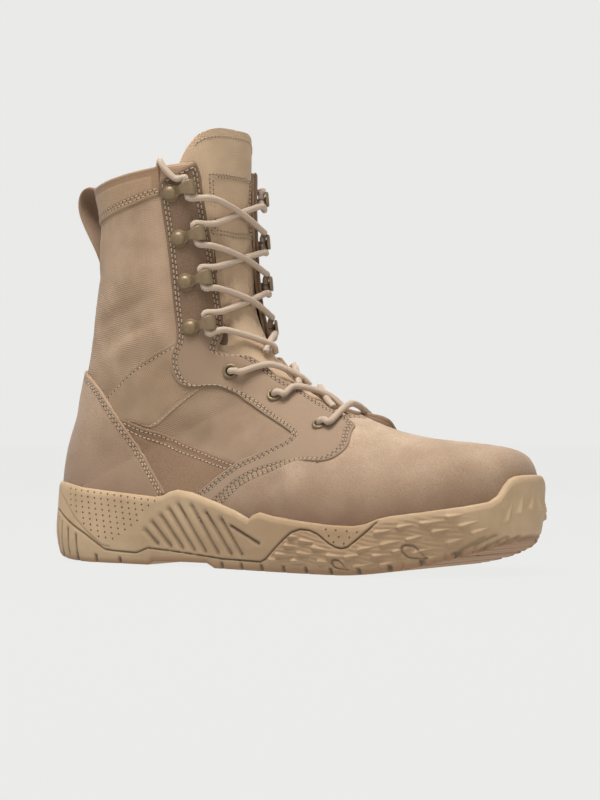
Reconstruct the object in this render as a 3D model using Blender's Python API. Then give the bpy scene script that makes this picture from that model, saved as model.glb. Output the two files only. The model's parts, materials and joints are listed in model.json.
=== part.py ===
"""Jungle boot for the right foot, standing empty on its sole.

Tables and lengths are in millimetres, with x from the back of the heel to the toe, y across
(negative on the outer side of the foot) and z up from the floor.
place() turns them into metres, with the origin on the floor under the middle of the boot.
"""
import math

import bmesh
import bpy
import numpy as np
from mathutils import Matrix, Vector
from mathutils.bvhtree import BVHTree

MM = 0.001
SLIVER = 3e-6             # in metres: points closer than this are one point
FLAT = math.radians(1.5)  # neighbouring faces closer to one plane than this become one
SOLE_FLAT = math.radians(2.0)  # and of the sole and the insole
SOLE_LENGTH = 310.0
MIDDLE_X = 155.8          # middle of the whole boot's length and width
MIDDLE_Y = 0.6
HEEL_RADIUS = 39.0        # round back of the sole, seen from above
TOE_START = 232.0         # where the sole starts to round off towards the toe
TOE_POWER = 2.25          # 2 is an ellipse, more is a squarer toe
UPPER_BACK = 5.0          # feather line: back and front of the upper where it meets the sole
UPPER_TIP = 305.0
FEATHER_INSET = 5.5       # from the sole's edge to the feather line
FEATHER_RADIUS = 34.0

GAP = 0.3                 # clearance between pieces that touch on the real boot
WALL = 1.8                # canvas and lining of the upper
PANEL = 1.3               # suede panels sewn on the upper
THIN_PANEL = 0.9
TONGUE_THICKNESS = 2.6
INSOLE_THICKNESS = 4.0
INSOLE_ROOM = 2.4         # from the lining to the insole's edge
LACE_RADIUS = 1.8
COLLAR_PEAK = 3.5         # the collar rises at the back of the leg
COLLAR_PEAK_START = 0.8
PAST = 90.0               # further than any piece reaches to the side
PROUD = 6.0               # how far a cutter stands out of the surface that it cuts

# Plan of the sole: the middle of its width and half its width along the length.
OUTLINE = [
    # x, middle, half_width
    (0.0, 0.0, 39.0), (40.0, 0.0, 39.5), (80.0, -1.0, 39.0), (120.0, -2.0, 40.0), (160.0, -1.5, 45.5),
    (195.0, -0.5, 51.5), (225.0, 0.5, 54.0), (255.0, 3.0, 52.5), (285.0, 6.0, 47.5), (310.0, 8.0, 44.0),
]
# Height of the feather line, where the upper's lower edge lies on the sole.
FEATHER = [
    # x, z
    (0.0, 27.0), (60.0, 26.0), (110.0, 23.5), (160.0, 19.0), (200.0, 15.0), (235.0, 14.5),
    (265.0, 17.5), (290.0, 22.5), (310.0, 28.0),
]
# Upper edge of the sole along the side, and of the toe bumper at its front.
SOLE_TOP = [
    # x, z
    (0.0, 43.5), (30.0, 41.5), (60.0, 39.6), (98.0, 37.2), (106.0, 40.0), (113.0, 42.0), (124.0, 40.6),
    (145.0, 34.5), (167.0, 27.5), (172.0, 30.0), (178.0, 30.8), (202.0, 28.0), (236.0, 26.6),
    (262.0, 31.5), (287.0, 38.6), (296.0, 48.5), (303.0, 51.5), (310.0, 52.0),
]
TOE_SPRING_START = 222.0
TOE_SPRING = 18.0         # height of the tread under the tip of the toe
TOE_SPRING_POWER = 2.0

# Planes through the last, from the front of the leg or the ridge of the instep (front_x, front_z)
# to the back of the leg or the feather line (back_x, back_z), with half the width on each side,
# where along the plane it is widest, and how full its front and back halves are.
SECTIONS = [
    # name, back_x, back_z, front_x, front_z, lateral, medial, widest, front_round, back_round, steps
    ("tongue_top", 28.0, 233.0, 125.0, 246.0, 43.5, 42.5, 0.50, 2.5, 2.2, 2),
    ("collar", 32.5, 212.5, 124.5, 226.5, 43.5, 42.5, 0.50, 2.5, 2.2, 1),
    ("cuff", 36.5, 194.0, 124.5, 206.0, 42.0, 41.0, 0.50, 2.5, 2.2, 1),
    ("shaft", 34.0, 166.0, 126.0, 181.0, 41.5, 40.5, 0.50, 2.5, 2.2, 1),
    ("shin", 29.5, 138.0, 129.5, 156.0, 40.5, 39.5, 0.50, 2.4, 2.2, 2),
    ("ankle", 23.0, 110.0, 137.0, 134.0, 38.5, 38.0, 0.52, 2.3, 2.2, 2),
    ("heel_top", 14.5, 82.0, 149.0, 116.5, 37.0, 36.5, 0.60, 2.2, 2.2, 1),
    ("heel", 7.5, 58.0, 158.0, 108.0, 36.0, 35.5, 0.66, 2.1, 2.2, 1),
    ("heel_low", 5.0, 40.0, 164.0, 104.0, 35.5, 35.0, 0.70, 2.1, 2.2, 1),
    ("seat_back", 5.0, 27.0, 168.5, 101.5, 35.5, 35.0, 0.72, 2.1, 2.2, 1),
    ("seat_side", 13.0, 26.9, 172.0, 99.5, 36.0, 35.5, 0.74, 2.1, 2.2, 1),
    ("seat", 32.0, 26.7, 178.0, 96.0, 37.0, 36.5, 0.76, 2.1, 2.2, 1),
    ("arch_back", 70.0, 25.6, 188.5, 90.5, 38.5, 37.0, 0.78, 2.1, 2.2, 1),
    ("arch", 115.0, 23.1, 201.0, 84.5, 40.5, 38.5, 0.80, 2.1, 2.2, 1),
    ("waist", 155.0, 19.4, 216.0, 78.0, 44.5, 42.5, 0.80, 2.15, 2.2, 1),
    ("ball_back", 192.0, 15.6, 233.0, 72.5, 48.5, 48.0, 0.80, 2.2, 2.2, 1),
    ("ball", 225.0, 14.2, 252.0, 69.0, 49.5, 50.0, 0.80, 2.3, 2.2, 1),
    ("toe_back", 255.0, 16.1, 272.0, 67.0, 46.0, 46.0, 0.78, 2.5, 2.2, 2),
    ("toe", 279.0, 20.1, 289.5, 64.8, 35.5, 35.5, 0.76, 2.6, 2.2, 2),
    ("toe_front", 296.0, 24.0, 301.0, 60.0, 22.0, 22.0, 0.72, 2.6, 2.2, 3),
    ("toe_tip", 305.0, 26.5, 305.0, 48.5, 0.0, 0.0, 0.70, 2.6, 2.2, 1),
]
HALF_POINTS = 10          # mesh points from the ridge to the back or the feather line, on each side

# Half the width of the throat, where the facings stand apart, at places along the sections.
THROAT = [
    # section, half_width
    (0.0, 33.0), (1.05, 28.5), (1.4, 26.2), (2.06, 24.6), (3.07, 21.5), (4.06, 20.0), (4.8, 20.4), (5.2, 22.2),
    (5.44, 24.8), (5.66, 24.8), (5.82, 19.5), (5.95, 14.0), (6.4, 11.0), (7.4, 9.5), (9.2, 8.7), (11.4, 8.3),
    (12.6, 8.0), (13.1, 6.5), (13.4, 3.5),
]
THROAT_OVERHANG = 0.8     # the facings stand this much further into the throat than the upper's wall
THROAT_REACH = (15.0, 30.0)   # the strip of space cut for the throat, outwards and inwards of the last
TONGUE_REACH = (8.0, 34.0)
TONGUE = [
    # section, half_width
    (0.02, 15.0), (0.08, 21.0), (0.25, 27.0), (0.56, 31.0), (1.06, 34.0), (2.07, 34.0), (4.06, 31.0),
    (5.2, 29.0), (6.06, 27.0), (7.1, 25.5), (8.06, 24.0), (9.6, 21.5), (11.1, 19.0), (12.4, 17.0),
    (13.2, 15.0), (13.9, 11.0),
]

# Patterns of the suede panels, seen from the side: points x, z around each.
FACING = [
    (98.6, 245.0), (99.5, 206.6), (102.5, 181.5), (104.5, 162.0), (106.4, 142.4), (107.0, 128.5), (103.6, 118.0),
    (103.4, 110.5), (106.6, 103.4), (111.0, 99.8), (117.8, 100.8), (124.5, 102.4), (136.5, 96.8), (152.6, 87.6),
    (175.0, 76.5), (181.6, 73.0), (179.5, 69.0), (167.1, 63.8), (148.4, 54.8), (127.1, 40.6), (95.0, 15.0),
    (116.0, 15.0), (145.0, 38.0), (156.2, 46.4), (171.7, 53.8), (192.5, 59.4), (204.0, 58.2), (212.0, 58.4),
    (217.6, 61.4), (219.0, 66.4), (214.8, 73.6), (209.3, 78.4), (203.0, 96.0), (170.0, 125.0), (150.0, 150.0),
    (150.0, 245.0),
]
FACING_START = 3.0        # the facings' patterns start this far from the boot's middle
COUNTER = [
    (-20.0, 112.5), (20.0, 111.5), (33.0, 109.0), (48.2, 102.8), (57.4, 95.6), (68.5, 82.3), (82.7, 63.0),
    (96.5, 48.8), (105.3, 40.0), (104.0, 35.0), (86.0, 10.0), (-20.0, 10.0),
]
SIDE_PANEL = [
    (60.0, 84.6), (68.5, 82.2), (89.0, 75.7), (115.6, 67.2), (149.5, 58.2), (140.0, 48.0), (100.0, 14.0), (60.0, 10.0),
]
VAMP = [
    (100.0, 5.0), (116.0, 15.0), (145.0, 38.0), (156.2, 46.4), (171.7, 53.8), (192.5, 59.4), (203.0, 96.0),
    (330.0, 96.0), (330.0, 5.0),
]
COLLAR = [
    (-20.0, 194.5), (40.0, 194.2), (53.0, 195.0), (67.3, 198.4), (80.8, 201.4), (90.1, 204.2), (110.0, 208.6),
    (110.0, 250.0), (-20.0, 250.0),
]

# Where the sole's upper half meets the tread, from the heel forward, seen from the side.
PARTING = [
    # x, z
    (-20.0, 44.0), (10.0, 31.0), (19.4, 28.0), (26.7, 24.5), (43.1, 16.6), (57.7, 8.0), (64.4, 7.2),
    (81.5, 6.6), (90.2, 9.6), (106.4, 8.6), (145.9, 5.6), (174.8, 5.2), (179.0, 7.0), (192.9, 18.0),
    (198.1, 21.6), (204.1, 23.4), (210.0, 23.0), (215.0, 21.2), (222.4, 16.3), (226.3, 14.6), (230.0, 14.1),
    (233.6, 15.0), (239.3, 19.4), (245.5, 24.4), (256.0, 34.0),
]
ARCH_RISE = [
    # x, height of the tread off the floor
    (0.0, 0.0), (88.0, 0.0), (92.0, 2.4), (132.0, 2.6), (138.0, 0.0), (310.0, 0.0),
]
# Slanting grooves in the side of the sole: top and bottom of each, x and z.
RIB_GROOVES = [
    # top_x, top_z, bottom_x, bottom_z
    (89.7, 19.5, 97.4, 12.4), (95.4, 24.0, 106.8, 11.4), (102.2, 27.9, 115.6, 10.6), (108.3, 31.7, 124.2, 9.8),
    (115.6, 34.1, 132.8, 9.4), (125.6, 33.9, 142.6, 9.0), (136.4, 30.5, 152.6, 8.8), (147.7, 27.2, 160.8, 9.0),
]
RIB_WIDTH = 2.4
RIB_DEPTH = 1.3
# Grooves across the tread: place, and how far each slants forward on the way across.
TREAD_GROOVES = [
    # x, slant
    (22.4, 0.0), (36.6, 0.0), (50.8, 0.0), (68.5, 0.0), (149.0, 8.0), (164.0, 8.0), (179.0, 8.0), (194.0, 6.0),
    (209.0, 5.0), (224.0, 3.0), (239.0, 0.0), (255.0, 0.0), (270.0, 0.0), (285.0, 0.0),
]
TREAD_WIDTH = 3.2
TREAD_DEPTH = 3.0

# Loop at the back of the collar: outer and inner points around it, seen from the side.
PULL_LOOP = [
    # outer_x, outer_z, inner_x, inner_z
    (32.6, 162.0, 31.5, 179.0), (34.5, 187.0, 32.8, 186.0), (33.5, 200.0, 31.8, 199.0), (30.4, 211.5, 28.7, 210.8),
    (26.5, 218.4, 25.3, 216.6), (19.5, 220.2, 19.6, 218.4), (13.6, 217.0, 15.0, 215.8), (11.6, 210.0, 13.4, 209.8),
    (14.4, 200.0, 16.2, 200.6), (22.2, 187.0, 24.0, 188.0), (30.4, 173.0, 30.4, 180.6),
]
PULL_WIDTH = 18.0

HOOKS = [
    # x, z of the rivet, seen from the side
    (104.8, 207.5), (108.8, 182.1), (112.0, 157.7), (114.8, 132.3),
]
EYELETS = [
    (135.8, 107.9), (161.7, 93.9), (196.5, 77.0),
]
HOOK_TILT = math.radians(12.0)
HOOK_REACH = 9.6          # from the rivet to the lace under the arm
FITTING_RADIUS = 4.5      # round the foot of a hook or an eyelet
FITTING_SIDES = 7
EYELET_OUTER = 4.3
EYELET_HOLE = 2.5
EYELET_HEIGHT = 1.1
EYELET_ROLL = 0.5         # rounding of the eyelet's rim
EYELET_SIDES = 9

SUEDE = ("suede", (0.44, 0.33, 0.24, 1.0), 0.85, 0.0)
CANVAS = ("canvas", (0.47, 0.37, 0.27, 1.0), 0.80, 0.0)
RUBBER = ("rubber", (0.46, 0.36, 0.24, 1.0), 0.65, 0.0)
FOAM = ("foam", (0.25, 0.22, 0.18, 1.0), 0.90, 0.0)
METAL = ("painted_metal", (0.36, 0.31, 0.19, 1.0), 0.40, 0.6)
CORD = ("lace_cord", (0.62, 0.52, 0.44, 1.0), 0.80, 0.0)


def clear_scene():
    for item in list(bpy.data.objects):
        bpy.data.objects.remove(item)


def spline(table, column=1):
    """A smooth curve through the first column and another: a natural cubic, straight past its ends."""
    xs = np.array([row[0] for row in table])
    ys = np.array([row[column] for row in table])
    h = np.diff(xs)
    n = len(xs)
    system = np.eye(n)
    right = np.zeros(n)
    for i in range(1, n - 1):
        system[i, i - 1:i + 2] = (h[i - 1], 2 * (h[i - 1] + h[i]), h[i])
        right[i] = 6 * ((ys[i + 1] - ys[i]) / h[i] - (ys[i] - ys[i - 1]) / h[i - 1])
    bend = np.linalg.solve(system, right)

    def curve(x):
        x = np.clip(np.asarray(x, float), xs[0], xs[-1])
        i = np.clip(np.searchsorted(xs, x) - 1, 0, n - 2)
        left = (xs[i + 1] - x) / h[i]
        rest = (x - xs[i]) / h[i]
        cubic = (left ** 3 - left) * bend[i] + (rest ** 3 - rest) * bend[i + 1]
        return left * ys[i] + rest * ys[i + 1] + cubic * h[i] ** 2 / 6
    return curve


def straight(table):
    """Straight lines through a table's first two columns."""
    xs = [row[0] for row in table]
    ys = [row[1] for row in table]
    return lambda x: float(np.interp(x, xs, ys))


middle_line = spline(OUTLINE, 1)
half_width = spline(OUTLINE, 2)
feather_height = spline(FEATHER)
sole_top = straight(SOLE_TOP)
arch_rise = straight(ARCH_RISE)
numbered = [(float(i),) + row[1:] for i, row in enumerate(SECTIONS)]
COLUMNS = ("back_x", "back_z", "front_x", "front_z", "lateral", "medial", "widest", "front_round", "back_round")
along = {name: spline(numbered, i + 1) for i, name in enumerate(COLUMNS)}
NAMES = [row[0] for row in SECTIONS]
COLLAR_SECTION = NAMES.index("collar")
CORNER = NAMES.index("seat_back")
LAST = len(SECTIONS) - 1


def place(x, y, z):
    return Vector(((x - MIDDLE_X) * MM, (y - MIDDLE_Y) * MM, z * MM))


def rounding(x, back, radius, tip):
    """The share of the full width that is left near the round heel and the round toe."""
    heel = min(max((back + radius - x) / radius, 0.0), 1.0)
    toe = min(max((x - TOE_START) / (tip - TOE_START), 0.0), 1.0)
    return math.sqrt(1.0 - heel ** 2) * (1.0 - toe ** TOE_POWER) ** (1.0 / TOE_POWER)


def feather_half(x):
    """Half the width between the two feather lines."""
    return (float(half_width(x)) - FEATHER_INSET) * rounding(x, UPPER_BACK, FEATHER_RADIUS, UPPER_TIP)


def girth_steps(widest):
    """Places from 0 at the ridge to 1 at the back, closer together where the section turns."""
    turn = np.linspace(0.0, math.pi / 2, HALF_POINTS // 2 + 1)
    front = widest * (1.0 - np.cos(turn))
    back = widest + (1.0 - widest) * np.sin(turn)
    return np.concatenate([front, back[1:]])


def section_point(u, q, side):
    """The last's surface at section u and place q, on the side -1 (lateral) or 1 (medial)."""
    value = {name: float(curve(u)) for name, curve in along.items()}
    back_x = value["back_x"]
    back_z = value["back_z"]
    width = value["lateral"] if side < 0 else value["medial"]
    middle = 0.0
    foot = 0.0
    if u > CORNER:
        back_z = float(feather_height(back_x))
        foot = feather_half(back_x)
        middle = float(middle_line(back_x)) * min((u - CORNER) / 3.0, 1.0)
        width = max(width, foot)
    if u >= LAST:
        width = 0.0
        foot = 0.0
    floor = min(foot / width, 1.0) if width > 0.0 else 0.0
    widest = value["widest"]
    if q < widest:
        share = max(1.0 - (1.0 - q / widest) ** 2, 0.0) ** (1.0 / value["front_round"])
    else:
        past = (q - widest) / (1.0 - widest)
        share = floor + (1.0 - floor) * max(1.0 - past ** 2, 0.0) ** (1.0 / value["back_round"])
    x = value["front_x"] + q * (back_x - value["front_x"])
    z = value["front_z"] + q * (back_z - value["front_z"])
    if u == COLLAR_SECTION:
        z += COLLAR_PEAK * max((q - COLLAR_PEAK_START) / (1.0 - COLLAR_PEAK_START), 0.0) ** 2
    return x, middle + side * width * share, z


def section_rows(first):
    rows = []
    for i in range(first, LAST):
        steps = SECTIONS[i][-1]
        rows += [i + k / steps for k in range(steps)]
    return rows + [float(LAST)]


class Skin:
    """The last's surface as a net of points, with the lateral and medial halves sewn together."""

    def __init__(self, first):
        self.rows = section_rows(first)
        self.points = []
        self.faces = []
        found = {}
        net = {}
        for side in (-1, 1):
            for k, u in enumerate(self.rows):
                for j, q in enumerate(girth_steps(float(along["widest"](u)))):
                    point = section_point(u, float(q), side)
                    key = tuple(round(c, 4) for c in point)
                    if key not in found:
                        found[key] = len(self.points)
                        self.points.append(np.array(point))
                    net[side, k, j] = found[key]
        for side in (-1, 1):
            for k in range(len(self.rows) - 1):
                for j in range(HALF_POINTS):
                    face = [net[side, k, j], net[side, k, j + 1], net[side, k + 1, j + 1], net[side, k + 1, j]]
                    face = face if side < 0 else face[::-1]
                    face = [v for i, v in enumerate(face) if v != face[i - 1]]
                    if len(face) > 2:
                        self.faces.append(face)
        self.points = np.array(self.points)
        self.net = net
        self.normals = self.point_normals()

    def point_normals(self):
        total = np.zeros_like(self.points)
        for face in self.faces:
            p = self.points[face]
            normal = np.cross(p[2] - p[0], p[-1] - p[1])
            total[face] += normal
        return total / np.linalg.norm(total, axis=1)[:, None]

    def offset(self, distance):
        return self.points + self.normals * distance

    def rim(self):
        """Edges with a face on one side only, in that face's direction."""
        edges = {}
        for face in self.faces:
            for a, b in zip(face, face[1:] + face[:1]):
                edges[a, b] = True
        return [edge for edge in edges if edge[::-1] not in edges]


def mesh_object(name, points, faces, material=None, in_mm=True):
    mesh = bpy.data.meshes.new(name)
    if in_mm:
        points = [place(*p) for p in points]
    mesh.from_pydata([tuple(p) for p in points], [], [list(f) for f in faces])
    mesh.validate()
    item = bpy.data.objects.new(name, mesh)
    bpy.context.scene.collection.objects.link(item)
    if material:
        mesh.materials.append(finish(*material))
    return item


def finish(name, colour, roughness, metallic):
    material = bpy.data.materials.get(name)
    if material:
        return material
    material = bpy.data.materials.new(name)
    material.use_nodes = True
    shader = material.node_tree.nodes["Principled BSDF"]
    shader.inputs["Base Color"].default_value = colour
    shader.inputs["Roughness"].default_value = roughness
    shader.inputs["Metallic"].default_value = metallic
    return material


def smooth(item, angle=35.0):
    item.data.shade_smooth()
    item.data.set_sharp_from_angle(angle=math.radians(angle))
    return item


def in_triangles(item):
    work = bmesh.new()
    work.from_mesh(item.data)
    bmesh.ops.triangulate(work, faces=work.faces[:])
    work.to_mesh(item.data)
    work.free()


def combine(item, tool, operation):
    """Cut, keep or add with another closed shape, which is then thrown away."""
    in_triangles(item)
    in_triangles(tool)
    step = item.modifiers.new(operation.lower(), 'BOOLEAN')
    step.operation = operation
    step.object = tool
    step.solver = 'EXACT'
    bpy.context.view_layer.update()
    done = bpy.data.meshes.new_from_object(item.evaluated_get(bpy.context.evaluated_depsgraph_get()))
    item.modifiers.remove(step)
    item.data = done
    bpy.data.objects.remove(tool)
    work = bmesh.new()
    work.from_mesh(done)
    bmesh.ops.remove_doubles(work, verts=work.verts[:], dist=SLIVER)
    bmesh.ops.dissolve_degenerate(work, edges=work.edges[:], dist=SLIVER)
    work.to_mesh(done)
    work.free()
    return item


def cut(item, *tools):
    for tool in tools:
        combine(item, tool, 'DIFFERENCE')
    return item


def shell(name, skin, inner, outer, material):
    """A wall between two offsets of the last's surface, open where that surface is."""
    n = len(skin.points)
    points = np.concatenate([skin.offset(outer), skin.offset(inner)])
    faces = list(skin.faces)
    faces += [[v + n for v in reversed(face)] for face in skin.faces]
    faces += [[b, a, a + n, b + n] for a, b in skin.rim()]
    return mesh_object(name, points, faces, material)


def last_form(name, skin, distance, drop):
    """The last itself, swollen by a distance and closed at the top and underneath."""
    points = skin.offset(distance)
    faces = list(skin.faces)
    count = len(skin.rows)
    collar = [skin.net[-1, 0, j] for j in range(HALF_POINTS + 1)]
    collar += [skin.net[1, 0, j] for j in range(HALF_POINTS - 1, 0, -1)]
    faces.append(collar[::-1])
    for k in range(count - 1):
        quad = [skin.net[1, k, HALF_POINTS], skin.net[1, k + 1, HALF_POINTS],
                skin.net[-1, k + 1, HALF_POINTS], skin.net[-1, k, HALF_POINTS]]
        quad = [v for i, v in enumerate(quad) if v != quad[i - 1]]
        if len(set(quad)) > 2 and skin.rows[k + 1] > CORNER:
            faces.append(quad[::-1])
            for v in quad:
                points[v, 2] = min(points[v, 2], skin.points[v, 2] - drop)
    return outwards(mesh_object(name, points, faces))


def side_prism(outline, y_from, y_to):
    """A pattern seen from the side, carried across from one y to another."""
    n = len(outline)
    area = sum(a[0] * b[1] - b[0] * a[1] for a, b in zip(outline, outline[1:] + outline[:1]))
    ring = outline if area > 0 else outline[::-1]
    low, high = sorted((y_from, y_to))
    points = [(x, low, z) for x, z in ring] + [(x, high, z) for x, z in ring]
    faces = [list(range(n)), list(range(n, 2 * n))[::-1]]
    faces += [[i, i + n, (i + 1) % n + n, (i + 1) % n] for i in range(n)]
    return mesh_object("pattern", points, faces)


def grown(outline, distance):
    """The same pattern with every side moved outwards."""
    p = np.array(outline, float)
    area = np.sum(p[:, 0] * np.roll(p[:, 1], -1) - np.roll(p[:, 0], -1) * p[:, 1])
    edge = np.roll(p, -1, axis=0) - p
    normal = np.stack([edge[:, 1], -edge[:, 0]], axis=1) * np.sign(area)
    normal /= np.linalg.norm(normal, axis=1)[:, None]
    both = normal + np.roll(normal, 1, axis=0)
    length = np.sum(both * normal, axis=1)
    return [tuple(row) for row in p + both * (distance / length)[:, None]]


def lane(table, extra, reach):
    """A strip of space that follows the front of the leg and the instep, of a table's half width."""
    points = []
    for u, half in table:
        front = np.array([float(along["front_x"](u)), float(along["front_z"](u))])
        back = np.array([float(along["back_x"](u)), float(along["back_z"](u))])
        inwards = (back - front) / np.linalg.norm(back - front)
        middle = section_point(u, 0.0, 1)[1]
        for step in (-reach[0], reach[1]):
            x, z = front + inwards * step
            points += [(x, middle - half - extra, z), (x, middle + half + extra, z)]
    faces = [[0, 1, 3, 2]]
    for k in range(len(table) - 1):
        a = 4 * k
        b = a + 4
        faces += [[a + i, b + i, b + j, a + j] for i, j in ((0, 1), (1, 3), (3, 2), (2, 0))]
    end = 4 * (len(table) - 1)
    faces.append([end + 2, end + 3, end + 1, end])
    return outwards(mesh_object("lane", points, faces))


def outwards(item):
    """Turn every face of a closed shape outwards."""
    work = bmesh.new()
    work.from_mesh(item.data)
    bmesh.ops.recalc_face_normals(work, faces=work.faces[:])
    work.to_mesh(item.data)
    work.free()
    return item


def sewn(rings, lids=True):
    """Rings of points joined one to the next, with flat lids on the first and the last."""
    n = len(rings[0])
    points = [p for ring in rings for p in ring]
    faces = []
    for k in range(len(rings) - 1):
        a = k * n
        faces += [[a + i, a + (i + 1) % n, a + n + (i + 1) % n, a + n + i] for i in range(n)]
    if lids:
        end = (len(rings) - 1) * n
        faces.append(list(range(n))[::-1])
        faces.append([end + i for i in range(n)])
    return points, faces


# The sole

HEEL_TURN = (0.0, 0.2, 0.4, 0.6, 0.8)
SIDE_STATIONS = (39.0, 60.0, 80.0, 88.0, 92.0, 98.0, 106.0, 113.0, 124.0, 132.0, 138.0, 145.0, 156.0, 167.0, 172.0,
                 178.0, 202.0, 218.0)
TOE_TURN = (0.0, 0.2, 0.36, 0.5, 0.62, 0.74, 0.87, 1.0)
SOLE_EDGE = [
    # share of the height from tread to lip, inset from the outline
    (0.0, 3.4), (0.14, 1.3), (0.42, 0.0),
]
LIP = 1.7                 # thickness of the sole's upper edge, where it hugs the upper
LIP_SWELL = 1.4           # what it gains 3 mm further down
LIP_STEP = 3.0
LIP_ROOT = 4.0            # the block reaches this far into the last before the last is cut out of it
BUMPER = 1.6              # the toe bumper is this much thicker
BUMPER_START = 287.0
BUMPER_RUN = 10.0         # length over which it thickens
AIM = 12.0                # inset of the line that the lip's edge is aimed at


def tread_height(x):
    """The underside of the tread: flat, raised under the arch, and sprung at the toe."""
    past = max(x - TOE_SPRING_START, 0.0) / (SOLE_LENGTH - TOE_SPRING_START)
    return arch_rise(x) + TOE_SPRING * past ** TOE_SPRING_POWER


def plan(t, side, back, radius, tip, narrower):
    """A point of an outline like the sole's: t is 0 to 1 round the heel, 1 to 2 along, 2 to 3 round the toe."""
    if t < 1.0:
        x = back + radius * (1.0 - math.cos(t * math.pi / 2))
    elif t < 2.0:
        x = back + radius + (TOE_START - back - radius) * (t - 1.0)
    else:
        x = TOE_START + (tip - TOE_START) * math.sin((t - 2.0) * math.pi / 2) ** (2.0 / TOE_POWER)
    half = (float(half_width(x)) - narrower) * rounding(x, back, radius, tip)
    return np.array([x, float(middle_line(x)) + side * half])


def stations():
    along_side = [1.0 + (x - HEEL_RADIUS) / (TOE_START - HEEL_RADIUS) for x in SIDE_STATIONS]
    return list(HEEL_TURN) + along_side + [2.0 + t for t in TOE_TURN]


def round_trip():
    """Stations from the heel along the lateral side to the toe, and back along the medial side."""
    there = [(t, -1) for t in stations()]
    back = [(t, 1) for t in reversed(stations()[1:-1])]
    return there + back


def sole_plan(t, side, inset):
    return plan(t, side, inset, HEEL_RADIUS - 0.6 * inset, SOLE_LENGTH - inset, inset)


def sole_block(last_tree):
    """The whole sole as one block, with its lip leaning on the last."""
    rings = [[] for _ in range(len(SOLE_EDGE) + 3)]
    for t, side in round_trip():
        outer = sole_plan(t, side, 0.0)
        inwards = sole_plan(t, side, AIM) - outer
        inwards /= np.linalg.norm(inwards)
        low = tread_height(outer[0])
        high = float(sole_top(outer[0]))
        for ring, (share, inset) in zip(rings, SOLE_EDGE):
            x, y = sole_plan(t, side, inset)
            ring.append((x, y, low + share * (high - low)))
        swell = BUMPER * min(max((outer[0] - BUMPER_START) / BUMPER_RUN, 0.0), 1.0)
        for ring, height, reach in ((rings[-3], high - LIP_STEP, LIP + LIP_SWELL + swell),
                                    (rings[-2], high, LIP + swell), (rings[-1], high, -LIP_ROOT)):
            start = outer - inwards * PAST
            hit = last_tree.ray_cast(Vector((*start, height)), Vector((*inwards, 0.0)))[0]
            x, y = np.array(hit[:2]) - inwards * reach
            ring.append((x, y, height))
    points, faces = sewn(rings, lids=False)
    count = len(rings[0])
    for start, turn in ((0, 1), ((len(rings) - 1) * count, -1)):
        faces += across_quads(start, count, turn)
    return outwards(mesh_object("sole_block", points, faces))


def across_quads(start, count, turn):
    """Faces that close a ring from its lateral side to its medial side."""
    quads = []
    for k in range(len(stations()) - 1):
        quad = [start + k, start + (count - k) % count, start + (count - k - 1) % count, start + k + 1]
        quad = [v for i, v in enumerate(quad) if v != quad[i - 1]]
        quads.append(quad[::turn])
    return quads


def many(name, blocks):
    """Several separate blocks in one shape."""
    points = []
    faces = []
    for block_points, block_faces in blocks:
        faces += [[v + len(points) for v in face] for face in block_faces]
        points += block_points
    return outwards(mesh_object(name, points, faces))


def rib_grooves(side, tree):
    blocks = []
    for top_x, top_z, bottom_x, bottom_z in RIB_GROOVES:
        run = np.array([bottom_x - top_x, bottom_z - top_z])
        across = np.array([run[1], -run[0]]) / np.linalg.norm(run) * RIB_WIDTH / 2
        ends = []
        for x, z in ((top_x, top_z), (bottom_x, bottom_z)):
            hit = tree.ray_cast(Vector((x, side * PAST, z)), Vector((0.0, -side, 0.0)))[0]
            deep = hit[1] - side * RIB_DEPTH
            proud = hit[1] + side * PROUD
            ends.append([(x - across[0], deep, z - across[1]), (x + across[0], deep, z + across[1]),
                         (x + across[0], proud, z + across[1]), (x - across[0], proud, z - across[1])])
        blocks.append(sewn(ends))
    return many("rib_grooves", blocks)


def tread_grooves():
    blocks = []
    for x, slant in TREAD_GROOVES:
        ends = []
        for side in (-1, 1):
            middle = x + side * slant / 2
            low = tread_height(middle)
            ends.append([(middle + dx, side * PAST, low + dz) for dx, dz in
                         ((-TREAD_WIDTH / 2, -PROUD), (TREAD_WIDTH / 2, -PROUD),
                          (TREAD_WIDTH / 2, TREAD_DEPTH), (-TREAD_WIDTH / 2, TREAD_DEPTH))])
        blocks.append(sewn(ends))
    return many("tread_grooves", blocks)


def tree_of(points, faces):
    return BVHTree.FromPolygons([Vector(p) for p in points], faces)


def millimetres(item):
    """A mesh's points back in the tables' millimetres."""
    return [(v.co.x / MM + MIDDLE_X, v.co.y / MM + MIDDLE_Y, v.co.z / MM) for v in item.data.vertices]


def make_sole(skin):
    swell = 2 * GAP + PANEL
    tree = tree_of(skin.offset(swell), skin.faces)
    upper_half = PARTING + [(PARTING[-1][0], PAST), (PARTING[0][0], PAST)]
    midsole = sole_block(tree)
    block_tree = tree_of(millimetres(midsole), [list(p.vertices) for p in midsole.data.polygons])
    cut(midsole, last_form("last", skin, swell, GAP))
    outsole = midsole.copy()
    outsole.data = midsole.data.copy()
    bpy.context.scene.collection.objects.link(outsole)
    combine(midsole, side_prism(upper_half, -PAST, PAST), 'INTERSECT')
    cut(midsole, rib_grooves(-1, block_tree), rib_grooves(1, block_tree))
    rename(midsole, "midsole", RUBBER, SOLE_FLAT)
    cut(outsole, side_prism(grown(upper_half, GAP), -PAST, PAST), tread_grooves())
    rename(outsole, "outsole", RUBBER, SOLE_FLAT)


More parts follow.
